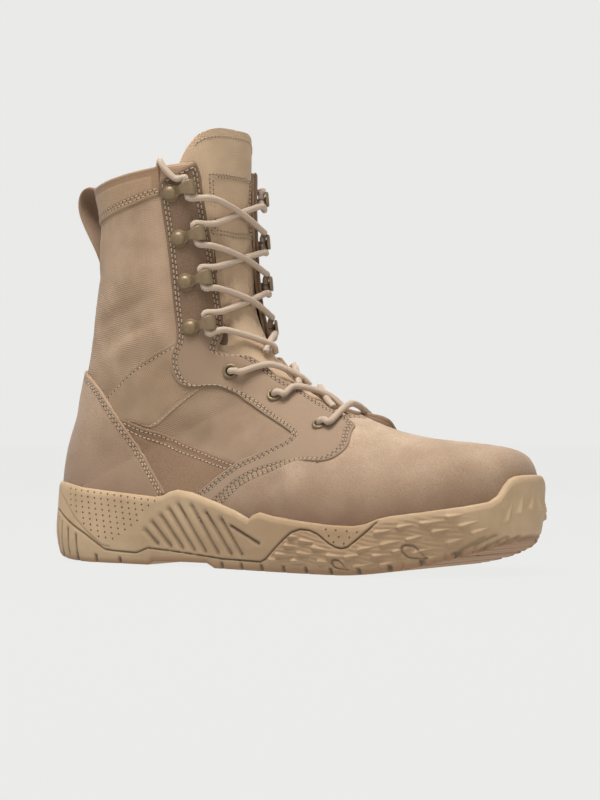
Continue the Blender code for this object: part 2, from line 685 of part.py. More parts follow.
def rename(item, name, material, flat=FLAT):
    """Give a finished shape its name and material, with its many-sided faces cut into triangles."""
    item.name = name
    item.data.name = name
    work = bmesh.new()
    work.from_mesh(item.data)
    bmesh.ops.dissolve_limit(work, angle_limit=flat, verts=work.verts[:], edges=work.edges[:])
    work.to_mesh(item.data)
    work.free()
    in_triangles(item)
    outwards(item)
    item.data.materials.clear()
    item.data.materials.append(finish(*material))
    return smooth(item)


def make_insole(skin):
    """A slab over the whole floor, kept inside the upper's lining."""
    rings = [[], []]
    for t, side in round_trip():
        x, y = sole_plan(t, side, 0.0)
        z = float(feather_height(x)) + GAP
        rings[0].append((x, y, z))
        rings[1].append((x, y, z + INSOLE_THICKNESS))
    points, faces = sewn(rings, lids=False)
    count = len(rings[0])
    for start, turn in ((0, 1), (count, -1)):
        faces += across_quads(start, count, turn)
    insole = outwards(mesh_object("insole", points, faces))
    combine(insole, last_form("last", skin, -WALL - INSOLE_ROOM, 0.0), 'INTERSECT')
    rename(insole, "insole", FOAM, SOLE_FLAT)


# The upper and its panels

def circle(sides):
    """Angles of the corners of a round shape."""
    return np.arange(sides) * 2 * math.pi / sides


def seat(tree, x, z, side):
    """Where a fitting's foot lies on the facing, with its axes: forward along the facing, up, out."""
    def on_facing(px, pz):
        return tree.ray_cast(Vector((px, side * PAST, pz)), Vector((0.0, -side, 0.0)))[0]
    middle = on_facing(x, z)
    ring = [on_facing(x + FITTING_RADIUS * math.cos(a), z + FITTING_RADIUS * math.sin(a))
            for a in circle(FITTING_SIDES)]
    normal = Vector((0.0, 0.0, 0.0))
    for here, there in zip(ring, ring[1:] + ring[:1]):
        normal += (here - middle).cross(there - middle)
    normal.normalize()
    if normal.y * side < 0:
        normal = -normal
    proud = max((point - middle).dot(normal) for point in ring + [middle])
    forward = Vector((1.0, 0.0, 0.0))
    forward = (forward - normal * forward.dot(normal)).normalized()
    up = normal.cross(forward) * -side
    return middle + normal * (proud + GAP), forward, up, normal


def turned(frame, angle):
    """The same axes turned about the outward one, so that forward points more upwards."""
    point, forward, up, out = frame
    c, s = math.cos(angle), math.sin(angle)
    return point, forward * c + up * s, up * c - forward * s, out


def at(frame, x, y, z):
    point, forward, up, out = frame
    return point + forward * x + up * y + out * z


def rod(frame, radius, low, high, sides):
    """A round bar along a fitting's outward axis."""
    rings = []
    for z in (low, high):
        rings.append([tuple(at(frame, radius * math.cos(a), radius * math.sin(a), z)) for a in circle(sides)])
    points, faces = sewn(rings)
    return outwards(mesh_object("rod", points, faces))


def eyelet_holes(tree, side, radius):
    return [rod(seat(tree, x, z, side), radius, -2 * PROUD, PROUD, FITTING_SIDES) for x, z in EYELETS]


def make_upper(skin, tree):
    upper = shell("upper", skin, -WALL, 0.0, CANVAS)
    cut(upper, lane(THROAT, 0.0, THROAT_REACH))
    for side in (-1, 1):
        cut(upper, *eyelet_holes(tree, side, EYELET_HOLE + 2 * GAP))
    rename(upper, "upper", CANVAS)


def make_tongue():
    long_skin = Skin(0)
    outer = -WALL - GAP
    tongue = shell("tongue", long_skin, outer - TONGUE_THICKNESS, outer, CANVAS)
    combine(tongue, lane(TONGUE, 0.0, TONGUE_REACH), 'INTERSECT')
    rename(tongue, "tongue", CANVAS)


def panel(name, skin, outline, thickness, from_y, to_y, *cutters):
    """A suede panel: the space just outside the last, kept inside its pattern."""
    item = shell(name, skin, GAP, GAP + thickness, SUEDE)
    combine(item, side_prism(outline, from_y, to_y), 'INTERSECT')
    cut(item, *cutters)
    return rename(item, name, SUEDE)


def make_panels(skin, tree):
    wide_facing = grown(FACING, GAP)
    wide_counter = grown(COUNTER, GAP)
    start = FACING_START - GAP
    for side, word in ((-1, "lateral"), (1, "medial")):
        panel("facing_" + word, skin, FACING, PANEL, side * FACING_START, side * PAST,
              lane(THROAT, -THROAT_OVERHANG, THROAT_REACH), *eyelet_holes(tree, side, EYELET_HOLE + GAP))
        panel("side_panel_" + word, skin, SIDE_PANEL, THIN_PANEL, side * FACING_START, side * PAST,
              side_prism(wide_counter, side * start, side * PAST), side_prism(wide_facing, side * start, side * PAST))
    panel("vamp", skin, VAMP, PANEL, -PAST, PAST, lane(THROAT, 0.0, THROAT_REACH),
          side_prism(wide_facing, -PAST, -start), side_prism(wide_facing, start, PAST))
    panel("heel_counter", skin, COUNTER, PANEL, -PAST, PAST)
    panel("collar_band", skin, COLLAR, THIN_PANEL, -PAST, PAST,
          side_prism(wide_facing, -PAST, -start), side_prism(wide_facing, start, PAST))


def make_pull_loop():
    n = len(PULL_LOOP)
    points = []
    for y in (-PULL_WIDTH / 2, PULL_WIDTH / 2):
        points += [(x, y, z) for x, z, _, _ in PULL_LOOP]
        points += [(x, y, z) for _, _, x, z in PULL_LOOP]
    faces = []
    for i in range(n):
        j = (i + 1) % n
        faces += [[i, j, n + j, n + i], [2 * n + i, 3 * n + i, 3 * n + j, 2 * n + j],
                  [i, 2 * n + i, 2 * n + j, j], [n + i, n + j, 3 * n + j, 3 * n + i]]
    rename(outwards(mesh_object("pull_loop", points, faces)), "pull_loop", SUEDE)


# Hooks, eyelets and lace

HOOK_DOME = [
    # radius, height
    (4.2, 0.0), (4.2, 1.2), (2.2, 2.7),
]
HOOK_ARM = [
    # forward, height of the middle, half width
    (1.5, 0.55, 2.6), (4.2, 1.6, 2.3), (6.6, 5.2, 2.4), (11.6, 5.5, 3.4), (14.2, 3.6, 3.4),
]
HOOK_PLATE = 1.0


def hook_mesh():
    """A riveted lace hook in its own axes: forward, up along the facing, out."""
    rings = [[(r * math.cos(a), r * math.sin(a), h) for a in circle(FITTING_SIDES)] for r, h in HOOK_DOME]
    points, faces = sewn(rings)
    dome = outwards(mesh_object("hook", [tuple(np.array(p) * MM) for p in points], faces, None, False))
    rings = []
    for i, (x, z, half) in enumerate(HOOK_ARM):
        before = HOOK_ARM[max(i - 1, 0)]
        after = HOOK_ARM[min(i + 1, len(HOOK_ARM) - 1)]
        run = np.array([after[0] - before[0], after[1] - before[1]])
        run /= np.linalg.norm(run)
        dx, dz = -run[1] * HOOK_PLATE / 2, run[0] * HOOK_PLATE / 2
        rings.append([(x - dx, -half, z - dz), (x - dx, half, z - dz),
                      (x + dx, half, z + dz), (x + dx, -half, z + dz)])
    points, faces = sewn(rings)
    arm = outwards(mesh_object("arm", [tuple(np.array(p) * MM) for p in points], faces, None, False))
    combine(dome, arm, 'UNION')
    mesh = dome.data
    bpy.data.objects.remove(dome)
    mesh.materials.clear()
    mesh.materials.append(finish(*METAL))
    return mesh


def eyelet_mesh():
    """A rolled ring in its own axes, with its foot at height 0."""
    profile = [(EYELET_HOLE, 0.0), (EYELET_OUTER, 0.0), (EYELET_OUTER - EYELET_ROLL, EYELET_HEIGHT - EYELET_ROLL / 2),
               (EYELET_HOLE + EYELET_ROLL, EYELET_HEIGHT)]
    points = [(r * math.cos(a) * MM, r * math.sin(a) * MM, h * MM)
              for a in circle(EYELET_SIDES) for r, h in profile]
    n = len(profile)
    count = EYELET_SIDES
    faces = [[k * n + i, k * n + (i + 1) % n, (k + 1) % count * n + (i + 1) % n, (k + 1) % count * n + i]
             for k in range(count) for i in range(n)]
    item = outwards(mesh_object("eyelet", points, faces, METAL, False))
    mesh = item.data
    bpy.data.objects.remove(item)
    return mesh


def fit(name, mesh, frame, mirrored):
    """One fitting on its seat; the medial ones are mirror images, so their mesh is turned to match."""
    own = mesh.copy()
    if mirrored:
        own.transform(Matrix.Diagonal((1.0, -1.0, 1.0, 1.0)))
        own.flip_normals()
    item = bpy.data.objects.new(name, own)
    bpy.context.scene.collection.objects.link(item)
    point, forward, up, out = frame
    if mirrored:
        up = -up
    turn = Matrix((forward, up, out)).transposed().to_4x4()
    item.matrix_world = Matrix.Translation(place(*point)) @ turn
    return smooth(item)


def hook_frame(tree, i, side):
    return turned(seat(tree, *HOOKS[i], side), HOOK_TILT)


def make_fittings(tree):
    hook = hook_mesh()
    eyelet = eyelet_mesh()
    for side, word in ((-1, "lateral"), (1, "medial")):
        for i in range(len(HOOKS)):
            fit("hook_%s_%d" % (word, i + 1), hook, hook_frame(tree, i, side), side > 0)
        for i, (x, z) in enumerate(EYELETS):
            fit("eyelet_%s_%d" % (word, i + 1), eyelet, seat(tree, x, z, side), side > 0)


LACE_SIDES = 6
LACE_STEP = 9.5
HOOK_SECTION = (1.8, 2.86, 3.8, 4.87)
EYELET_SECTION = (6.35, 10.19, 13.0)
ON_HOOK = 2.6             # height of the lace's middle under a hook's arm
OVER_EDGE = 4.1           # height of the lace's middle where it crosses a facing's edge
ON_TONGUE = 0.6           # and where it starts on the tongue, above the last's surface
OVER_CROSSING = (1.8, 1.0)    # and in the middle of a crossing, between eyelets and between hooks
LEG_MIDDLE = Vector((70.0, 0.0, 90.0))
UNDER_ARM = [
    # past the hook's reach, aside, height above ON_HOOK
    (1.0, 6.0, 0.8), (0.0, 3.2, 0.0), (-0.4, 0.4, 0.0),
]
INTO_EYELET = [
    # forward, height
    (7.0, 3.0), (4.0, 3.6), (1.3, 2.8), (0.2, 1.0), (0.0, -0.6),
]
EDGE_AT_HOOK = (0.25, 20.0)   # where a crossing passes a facing's edge: sections from the hook, and aside
EDGE_AT_EYELET = (0.3, 9.0)
START_AT_EYELET = (0.5, 4.6)
OVER_COLLAR = [
    # section, place round the leg, distance outwards, height above that
    (1.45, 0.19, 4.0, 0.0), (1.12, 0.24, 4.0, 0.0), (1.0, 0.26, 3.2, 1.8), (1.0, 0.27, -0.1, 2.8),
    (1.0, 0.29, -3.6, 1.6), (1.15, 0.32, -4.2, 0.0), (1.6, 0.36, -4.2, 0.0),
]


def smooth_path(points, step):
    """Points every few millimetres along a Catmull-Rom curve through a route."""
    p = np.array([tuple(q) for q in points], float)
    p = np.concatenate([[2 * p[0] - p[1]], p, [2 * p[-1] - p[-2]]])
    out = []
    for a, b, c, d in zip(p, p[1:], p[2:], p[3:]):
        count = max(int(math.ceil(np.linalg.norm(c - b) / step)), 1)
        for t in np.arange(count) / count:
            out.append(0.5 * (2 * b + (c - a) * t + (2 * a - 5 * b + 4 * c - d) * t ** 2
                              + (3 * b - a - 3 * c + d) * t ** 3))
    return np.array(out + [p[-2]])


def tube(name, path):
    """A round cord along a path, with flat ends."""
    forward = np.gradient(path, axis=0)
    forward /= np.linalg.norm(forward, axis=1)[:, None]
    across = np.cross(forward[0], (0.0, 0.0, 1.0))
    rings = []
    for point, run in zip(path, forward):
        across = across - run * np.dot(across, run)
        across /= np.linalg.norm(across)
        other = np.cross(run, across)
        rings.append([tuple(point + LACE_RADIUS * (across * math.cos(a) + other * math.sin(a)))
                      for a in circle(LACE_SIDES)])
    points, faces = sewn(rings)
    return outwards(mesh_object(name, points, faces))


def on_last(u, y, lift, tree):
    """A point over the front of the last, at section u and a distance y from its middle."""
    side = -1 if y < 0 else 1
    ridge = section_point(u, 0.0, side)[1]
    places = np.linspace(0.0, float(along["widest"](u)), 400)
    reach = [abs(section_point(u, q, side)[1] - ridge) for q in places]
    return off_last(u, float(np.interp(abs(y), reach, places)), side, lift, tree)


def off_last(u, q, side, lift, tree):
    """A point a given distance outwards from the last, at section u and place q."""
    point = Vector(section_point(u, q, side))
    normal = tree.find_nearest(point)[1]
    if normal.dot(point - LEG_MIDDLE) < 0:
        normal = -normal
    return point + normal * lift


def hook_end(tree, i, side, below):
    """The lace's last points under a hook's arm, coming from below it or from above it."""
    frame = hook_frame(tree, i, side)
    turn = -1.0 if below else 1.0
    return [at(frame, HOOK_REACH + ahead, turn * aside, ON_HOOK + lift) for ahead, aside, lift in UNDER_ARM]


def eyelet_end(tree, i, side):
    """The lace's last points where it goes down into an eyelet."""
    return [at(seat(tree, *EYELETS[i], side), x, 0.0, z) for x, z in INTO_EYELET]


def make_lace(skin, tree):
    """The lace as one bar at the lowest eyelets, a crossing at each level above, and two ends."""
    last_tree = tree_of(skin.points, skin.faces)
    levels = [EYELET_SECTION[2], EYELET_SECTION[1], EYELET_SECTION[0]] + list(HOOK_SECTION[::-1])
    for level, (low, high) in enumerate(zip(levels, levels[1:])):
        strands = []
        for side in (-1, 1):
            route = strand(level, low, high, side, tree, last_tree)
            strands.append(tube("strand", smooth_path(route, LACE_STEP)))
        cross = combine(strands[0], strands[1], 'UNION')
        rename(cross, "lace_cross_%d" % (level + 1), CORD)
    ends = [eyelet_end(tree, 2, side) for side in (-1, 1)]
    middle = on_last(EYELET_SECTION[2], 0.0, OVER_EDGE + 1.8, last_tree)
    rename(tube("lace_bar", smooth_path(ends[0][::-1] + [middle] + ends[1], LACE_STEP)), "lace_bar", CORD)
    for side, word in ((-1, "lateral"), (1, "medial")):
        route = hook_end(tree, 0, side, False)[::-1]
        for u, q, lift, rise in OVER_COLLAR:
            route.append(off_last(u, q, side, lift, last_tree) + Vector((0.0, 0.0, rise)))
        rename(tube("lace_end", smooth_path(route, LACE_STEP)), "lace_end_" + word, CORD)


def strand(level, low, high, side, tree, last_tree):
    """The route of one half of a crossing, from the low fitting on one side to the next one up opposite."""
    from_eyelet = level < len(EYELETS)
    to_eyelet = level < len(EYELETS) - 1
    if from_eyelet:
        start = [on_last(low - START_AT_EYELET[0], side * START_AT_EYELET[1], ON_TONGUE, last_tree)]
    else:
        start = hook_end(tree, 6 - level, side, False)[::-1]
        start.append(on_last(low - EDGE_AT_HOOK[0], side * EDGE_AT_HOOK[1], OVER_EDGE, last_tree))
    cross = on_last((low + high) / 2, 0.0, OVER_CROSSING[0 if from_eyelet else 1], last_tree)
    if to_eyelet:
        end = eyelet_end(tree, 1 - level, -side)
        edge = EDGE_AT_EYELET
    else:
        end = hook_end(tree, 5 - level, -side, True)
        edge = EDGE_AT_HOOK
    return start + [cross, on_last(high + edge[0], -side * edge[1], OVER_EDGE, last_tree)] + end


def main():
    clear_scene()
    skin = Skin(1)
    facing_tree = tree_of(skin.offset(GAP + PANEL), skin.faces)
    make_sole(skin)
    make_upper(skin, facing_tree)
    make_insole(skin)
    make_tongue()
    make_panels(skin, facing_tree)
    make_pull_loop()
    make_fittings(facing_tree)
    make_lace(skin, facing_tree)


main()
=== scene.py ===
# %% [markdown]
# # A laced jungle boot, from its last outwards
# A shoemaker starts from a last, the solid form of the foot, and lays every piece of the boot on it. This
# file does the same. One formula gives the last's surface, and canvas, suede, tongue and stitches are all
# worked out from that surface at their own height above it, so that they fit each other as sewn pieces do.
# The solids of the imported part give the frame: size, place and the pieces' names.

# %% Load the frame
import json
import math

import bmesh
import bpy
import numpy as np
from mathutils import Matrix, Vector
from mathutils.bvhtree import BVHTree

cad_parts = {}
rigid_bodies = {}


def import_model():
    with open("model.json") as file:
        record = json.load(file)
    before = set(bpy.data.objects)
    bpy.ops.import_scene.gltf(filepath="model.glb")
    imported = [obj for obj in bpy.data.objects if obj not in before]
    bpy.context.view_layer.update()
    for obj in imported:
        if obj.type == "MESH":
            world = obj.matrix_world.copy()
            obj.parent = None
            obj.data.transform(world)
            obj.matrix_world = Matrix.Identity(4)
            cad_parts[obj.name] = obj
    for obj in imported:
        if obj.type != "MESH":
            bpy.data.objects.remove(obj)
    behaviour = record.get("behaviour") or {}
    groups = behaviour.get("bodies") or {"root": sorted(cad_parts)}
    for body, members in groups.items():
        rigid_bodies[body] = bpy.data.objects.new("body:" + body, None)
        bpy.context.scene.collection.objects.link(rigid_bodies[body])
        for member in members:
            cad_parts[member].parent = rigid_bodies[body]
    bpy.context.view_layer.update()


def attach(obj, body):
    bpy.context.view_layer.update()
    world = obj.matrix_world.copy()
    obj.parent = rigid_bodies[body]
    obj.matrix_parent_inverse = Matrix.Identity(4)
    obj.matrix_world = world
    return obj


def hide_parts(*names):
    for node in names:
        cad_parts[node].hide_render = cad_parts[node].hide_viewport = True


for item in list(bpy.data.objects):
    bpy.data.objects.remove(item)
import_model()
MM = 0.001

# %% [markdown]
# ## Camera, floor and light
# The boot was photographed with a long lens from the height of its ankle, turned 35 degrees from its side.
# The horizon lies a little below the middle of the picture, which is a small upward shift of the lens and
# not a tilt. The floor is pale and the light is soft from all round, with one large lamp above and in front.

# %% Camera
AZIMUTH = math.radians(35.0)
CAMERA_AT = Vector((0.6422, -0.9016, 0.0700))
LENS = 89.3
LENS_SHIFT = 0.05

camera_data = bpy.data.cameras.new("camera")
camera_data.lens = LENS
camera_data.sensor_width = 36.0
camera_data.shift_y = LENS_SHIFT
camera = bpy.data.objects.new("camera", camera_data)
camera.location = CAMERA_AT
camera.rotation_euler = (math.pi / 2, 0.0, AZIMUTH)
bpy.context.scene.collection.objects.link(camera)
bpy.context.scene.camera = camera
print("camera at", tuple(camera.location))

# %% Lights
def area_light(name, place, target, size, power):
    """A square lamp that looks at a target."""
    data = bpy.data.lights.new(name, 'AREA')
    data.size = size
    data.energy = power
    lamp = bpy.data.objects.new(name, data)
    lamp.location = place
    lamp.rotation_euler = (Vector(target) - Vector(place)).to_track_quat('-Z', 'Y').to_euler()
    bpy.context.scene.collection.objects.link(lamp)


MIDDLE = (0.0, 0.0, 0.10)
area_light("key", (0.05, -0.50, 1.35), MIDDLE, 0.8, 24.0)
area_light("fill", (1.2, -0.5, 0.6), MIDDLE, 1.0, 2.6)
area_light("back", (-0.6, 1.0, 0.9), MIDDLE, 0.9, 5.0)
print("lamps:", len(bpy.data.lights))
world = bpy.data.worlds.new("studio")
world.use_nodes = True
world.node_tree.nodes["Background"].inputs["Color"].default_value = (0.82, 0.82, 0.806, 1.0)
world.node_tree.nodes["Background"].inputs["Strength"].default_value = 0.29
bpy.context.scene.world = world
bpy.context.scene.view_settings.view_transform = 'Standard'

# %% [markdown]
# ## Shader maths as expressions
# A shader is a sum of small sums. One class wraps a socket, so that an expression in Python adds the Math
# nodes it needs, and one class makes any other node from its type, its settings and its sockets.

# %% Sockets and paint
class Value:
    """A number that varies over the surface, which can be added, multiplied and compared."""

    def __init__(self, paint, socket):
        """The material under construction and the socket that carries the number."""
        self.paint = paint
        self.socket = socket

    def math(self, operation, *others):
        """One Math node, with this number as its first input."""
        return self.paint.node('ShaderNodeMath', {"operation": operation},
                               dict(enumerate((self,) + others)))

    def __add__(self, other):
        """This number and the other one, added."""
        return self.math('ADD', other)

    __radd__ = __add__

    def __sub__(self, other):
        """This number less the other one."""
        return self.math('SUBTRACT', other)

    def __rsub__(self, other):
        """The other one less this number."""
        return (self * -1.0) + other

    def __mul__(self, other):
        """This number times the other one."""
        return self.math('MULTIPLY', other)

    __rmul__ = __mul__

    def sine(self):
        """The sine of this number, in radians."""
        return self.math('SINE')

    def between(self, low, high):
        """0 under low, 1 over high, and a straight ramp from one to the other."""
        return self.paint.node('ShaderNodeMapRange', {"clamp": True},
                               {"Value": self, "From Min": low, "From Max": high})


class Paint:
    """A material under construction."""

    def __init__(self, name, roughness=0.8, metallic=0.0, sheen=0.0, sheen_roughness=0.5, specular=0.5):
        """A new material with one shader and its even settings."""
        self.material = bpy.data.materials.new(name)
        self.material.use_nodes = True
        self.tree = self.material.node_tree
        self.shader = self.tree.nodes["Principled BSDF"]
        self.shader.inputs["Roughness"].default_value = roughness
        self.shader.inputs["Metallic"].default_value = metallic
        self.shader.inputs["Specular IOR Level"].default_value = specular
        self.shader.inputs["Sheen Weight"].default_value = sheen
        self.shader.inputs["Sheen Roughness"].default_value = sheen_roughness

    def put(self, socket, value):
        """A link from another node, or a plain value."""
        if isinstance(value, Value):
            self.tree.links.new(value.socket, socket)
        else:
            socket.default_value = value

    def node(self, kind, settings=None, inputs=None, output=0):
        """A node of any type, with its settings and inputs, as a Value."""
        made = self.tree.nodes.new(kind)
        for key, value in (settings or {}).items():
            setattr(made, key, value)
        for key, value in (inputs or {}).items():
            self.put(made.inputs[key], value)
        return Value(self, made.outputs[output])

    def place(self):
        """The place on the piece, in metres."""
        return self.node('ShaderNodeTexCoord', output="Object")

    def uv(self, name="cloth"):
        """The place along and across the cloth."""
        return self.node('ShaderNodeUVMap', {"uv_map": name})

    def attribute(self, name):
        """A number that the mesh carries at its points."""
        return self.node('ShaderNodeAttribute', {"attribute_name": name}, output="Fac")

    def split(self, vector):
        """The three parts of a vector."""
        made = self.tree.nodes.new('ShaderNodeSeparateXYZ')
        self.tree.links.new(vector.socket, made.inputs[0])
        return [Value(self, made.outputs[i]) for i in range(3)]

    def stretch(self, vector, scale):
        """A vector scaled along each axis."""
        return self.node('ShaderNodeVectorMath', {"operation": 'MULTIPLY'}, {0: vector, 1: scale})

    def noise(self, vector, scale, detail=2.0, roughness=0.5):
        """Noise from 0 to 1 whose cells shrink as scale grows."""
        return self.node('ShaderNodeTexNoise', None,
                         {"Vector": vector, "Scale": scale, "Detail": detail, "Roughness": roughness})

    def mix(self, factor, first, second):
        """A colour between two, by a factor from 0 to 1."""
        made = self.tree.nodes.new('ShaderNodeMix')
        made.data_type = 'RGBA'
        for socket, value in ((made.inputs[0], factor), (made.inputs[6], first), (made.inputs[7], second)):
            self.put(socket, value)
        return Value(self, made.outputs[2])

    def finish(self, colour, height=None, roughness=None, strength=1.0, distance=0.001):
        """The colour, and the height as bump, put into the shader."""
        self.put(self.shader.inputs["Base Color"], colour)
        if roughness is not None:
            self.put(self.shader.inputs["Roughness"], roughness)
        if height is not None:
            bump = self.node('ShaderNodeBump', None, {"Strength": strength, "Distance": distance,
                                                      "Height": height})
            self.put(self.shader.inputs["Normal"], bump)
        return self.material

# %% [markdown]
# ## The last
# A last is described by planes that fan from the top of the leg down to the toe. Each plane runs from the
# front of the leg, or the ridge of the instep, to the back of the leg, or the line where upper meets sole.
# The half width along a plane follows a superellipse, fuller or flatter at its front and its back.
# The tables are in millimetres, with x from the back of the heel, y across and z up.

# %% Tables of the last
SOLE_LENGTH, HEEL_RADIUS, TOE_START, TOE_POWER = 310.0, 39.0, 232.0, 2.25
UPPER_BACK, UPPER_TIP, FEATHER_INSET, FEATHER_RADIUS = 5.0, 305.0, 5.5, 34.0
MIDDLE_X, MIDDLE_Y = 155.8, 0.6
GAP, WALL, PANEL, TONGUE_THICKNESS, COLLAR_PEAK = 0.3, 1.8, 1.3, 2.6, 3.5

# x, middle of the width, half the width
OUTLINE = np.array([
    (0.0, 0.0, 39.0), (40.0, 0.0, 39.5), (80.0, -1.0, 39.0), (120.0, -2.0, 40.0), (160.0, -1.5, 45.5),
    (195.0, -0.5, 51.5), (225.0, 0.5, 54.0), (255.0, 3.0, 52.5), (285.0, 6.0, 47.5), (310.0, 8.0, 44.0)])
# x, height of the line where the upper's lower edge lies on the sole
FEATHER = np.array([
    (0.0, 27.0), (60.0, 26.0), (110.0, 23.5), (160.0, 19.0), (200.0, 15.0), (235.0, 14.5),
    (265.0, 17.5), (290.0, 22.5), (310.0, 28.0)])
# back_x, back_z, front_x, front_z, lateral, medial, widest, front_round, back_round
SECTIONS = np.array([
    (28.0, 233.0, 125.0, 246.0, 43.5, 42.5, 0.50, 2.5, 2.2),
    (32.5, 212.5, 124.5, 226.5, 43.5, 42.5, 0.50, 2.5, 2.2),
    (36.5, 194.0, 124.5, 206.0, 42.0, 41.0, 0.50, 2.5, 2.2),
    (34.0, 166.0, 126.0, 181.0, 41.5, 40.5, 0.50, 2.5, 2.2),
    (29.5, 138.0, 129.5, 156.0, 40.5, 39.5, 0.50, 2.4, 2.2),
    (23.0, 110.0, 137.0, 134.0, 38.5, 38.0, 0.52, 2.3, 2.2),
    (14.5, 82.0, 149.0, 116.5, 37.0, 36.5, 0.60, 2.2, 2.2),
    (7.5, 58.0, 158.0, 108.0, 36.0, 35.5, 0.66, 2.1, 2.2),
    (5.0, 40.0, 164.0, 104.0, 35.5, 35.0, 0.70, 2.1, 2.2),
    (5.0, 27.0, 168.5, 101.5, 35.5, 35.0, 0.72, 2.1, 2.2),
    (13.0, 26.9, 172.0, 99.5, 36.0, 35.5, 0.74, 2.1, 2.2),
    (32.0, 26.7, 178.0, 96.0, 37.0, 36.5, 0.76, 2.1, 2.2),
    (70.0, 25.6, 188.5, 90.5, 38.5, 37.0, 0.78, 2.1, 2.2),
    (115.0, 23.1, 201.0, 84.5, 40.5, 38.5, 0.80, 2.1, 2.2),
    (155.0, 19.4, 216.0, 78.0, 44.5, 42.5, 0.80, 2.15, 2.2),
    (192.0, 15.6, 233.0, 72.5, 48.5, 48.0, 0.80, 2.2, 2.2),
    (225.0, 14.2, 252.0, 69.0, 49.5, 50.0, 0.80, 2.3, 2.2),
    (255.0, 16.1, 272.0, 67.0, 46.0, 46.0, 0.78, 2.5, 2.2),
    (279.0, 20.1, 289.5, 64.8, 35.5, 35.5, 0.76, 2.6, 2.2),
    (296.0, 24.0, 301.0, 60.0, 22.0, 22.0, 0.72, 2.6, 2.2),
    (305.0, 26.5, 305.0, 48.5, 0.0, 0.0, 0.70, 2.6, 2.2)])
CORNER, TIP = 9, 20
print("sections:", len(SECTIONS))


# %% Curves
def spline(xs, ys):
    """A natural cubic through the points: its second derivative is 0 at both ends."""
    h = np.diff(xs)
    n = len(xs)
    system = np.eye(n)
    right = np.zeros((n,) + np.shape(ys)[1:])
    for i in range(1, n - 1):
        system[i, i - 1:i + 2] = (h[i - 1], 2 * (h[i - 1] + h[i]), h[i])
        right[i] = 6 * ((ys[i + 1] - ys[i]) / h[i] - (ys[i] - ys[i - 1]) / h[i - 1])
    bend = np.linalg.solve(system, right)

    def curve(x):
        """The cubic of the span that x lies in."""
        x = np.clip(np.asarray(x, float), xs[0], xs[-1])
        i = np.clip(np.searchsorted(xs, x) - 1, 0, n - 2)
        wide = (...,) + (None,) * (np.ndim(ys) - 1)
        a = ((xs[i + 1] - x) / h[i])[wide]
        b = ((x - xs[i]) / h[i])[wide]
        cubic = (a ** 3 - a) * bend[i] + (b ** 3 - b) * bend[i + 1]
        return a * ys[i] + b * ys[i + 1] + cubic * (h[i] ** 2)[wide] / 6
    return curve


def ramp(x, low, high):
    """0 under low, 1 over high, with a smooth S between them."""
    t = np.clip((x - low) / (high - low), 0.0, 1.0)
    return t * t * (3.0 - 2.0 * t)


outline_at = spline(OUTLINE[:, 0], OUTLINE[:, 1:])
feather_height = spline(FEATHER[:, 0], FEATHER[:, 1])
section_at = spline(np.arange(len(SECTIONS)), SECTIONS)


def rounding(x, back, radius, tip):
    """The share of the full width left by the round heel, a circle, and the round toe, a superellipse."""
    heel = np.clip((back + radius - x) / radius, 0.0, 1.0)
    toe = np.clip((x - TOE_START) / (tip - TOE_START), 0.0, 1.0)
    return np.sqrt(1.0 - heel ** 2) * (1.0 - toe ** TOE_POWER) ** (1.0 / TOE_POWER)


def last(u, q, side):
    """The last's surface at section u and place q, 0 at the ridge and 1 at the back, on one side.

    Half width = widest * (1 - s^p)^(1/p'), with s the distance from the widest place, and with the foot's
    own width added below where the last stands on the sole."""
    u, q = np.broadcast_arrays(np.asarray(u, float), np.asarray(q, float))
    v = section_at(u)
    back_x, back_z, front_x, front_z, lateral, medial, widest, front_round, back_round = np.moveaxis(v,
                                                                                                     -1, 0)
    low = u > CORNER
    back_z = np.where(low, feather_height(back_x), back_z)
    foot = (outline_at(back_x)[..., 1] - FEATHER_INSET) * rounding(back_x, UPPER_BACK, FEATHER_RADIUS,
                                                                   UPPER_TIP)
    foot = np.where(low & (u < TIP), foot, 0.0)
    middle = np.where(low, outline_at(back_x)[..., 0] * np.clip((u - CORNER) / 3.0, 0.0, 1.0), 0.0)
    width = np.where(side < 0, lateral, medial)
    width = np.where(low, np.maximum(width, foot), width)
    width = np.where(u >= TIP, 0.0, width)
    floor = np.clip(foot / np.maximum(width, 1e-9), 0.0, 1.0)
    front = np.maximum(1.0 - (1.0 - np.minimum(q / widest, 1.0)) ** 2, 0.0) ** (1.0 / front_round)
    past = np.clip((q - widest) / (1.0 - widest), 0.0, 1.0)
    back = floor + (1.0 - floor) * np.maximum(1.0 - past ** 2, 0.0) ** (1.0 / back_round)
    share = np.where(q < widest, front, back)
    peak = COLLAR_PEAK * np.clip((q - 0.8) / 0.2, 0.0, 1.0) ** 2 * np.clip(1.0 - np.abs(u - 1.0), 0.0, 1.0)
    x = front_x + q * (back_x - front_x)
    z = front_z + q * (back_z - front_z) + peak
    return np.stack([x, middle + side * width * share, z], axis=-1)


def surface(u, g):
    """The last at section u and girth g: 0 at the ridge, 1 at the widest place, 2 at the back or the sole.

    The sign of g is the side, negative for the outer side of the foot, and past 2 it runs on round the back.
    With w the widest place, q = w * (1 - cos(g * pi / 2)), and past it
    q = w + (1 - w) * sin((g - 1) * pi / 2)."""
    u, g = np.broadcast_arrays(np.asarray(u, float), np.asarray(g, float))
    side = np.where(g < 0, -1.0, 1.0)
    s = np.abs(g)
    round_back = (s > 2.0) & (u <= CORNER)
    side = np.where(round_back, -side, side)
    s = np.where(round_back, 4.0 - s, np.minimum(s, 2.0))
    w = section_at(u)[..., 6]
    q = np.where(s < 1.0, w * (1.0 - np.cos(s * math.pi / 2)),
                 w + (1.0 - w) * np.sin((s - 1.0) * math.pi / 2))
    return last(u, q, side)


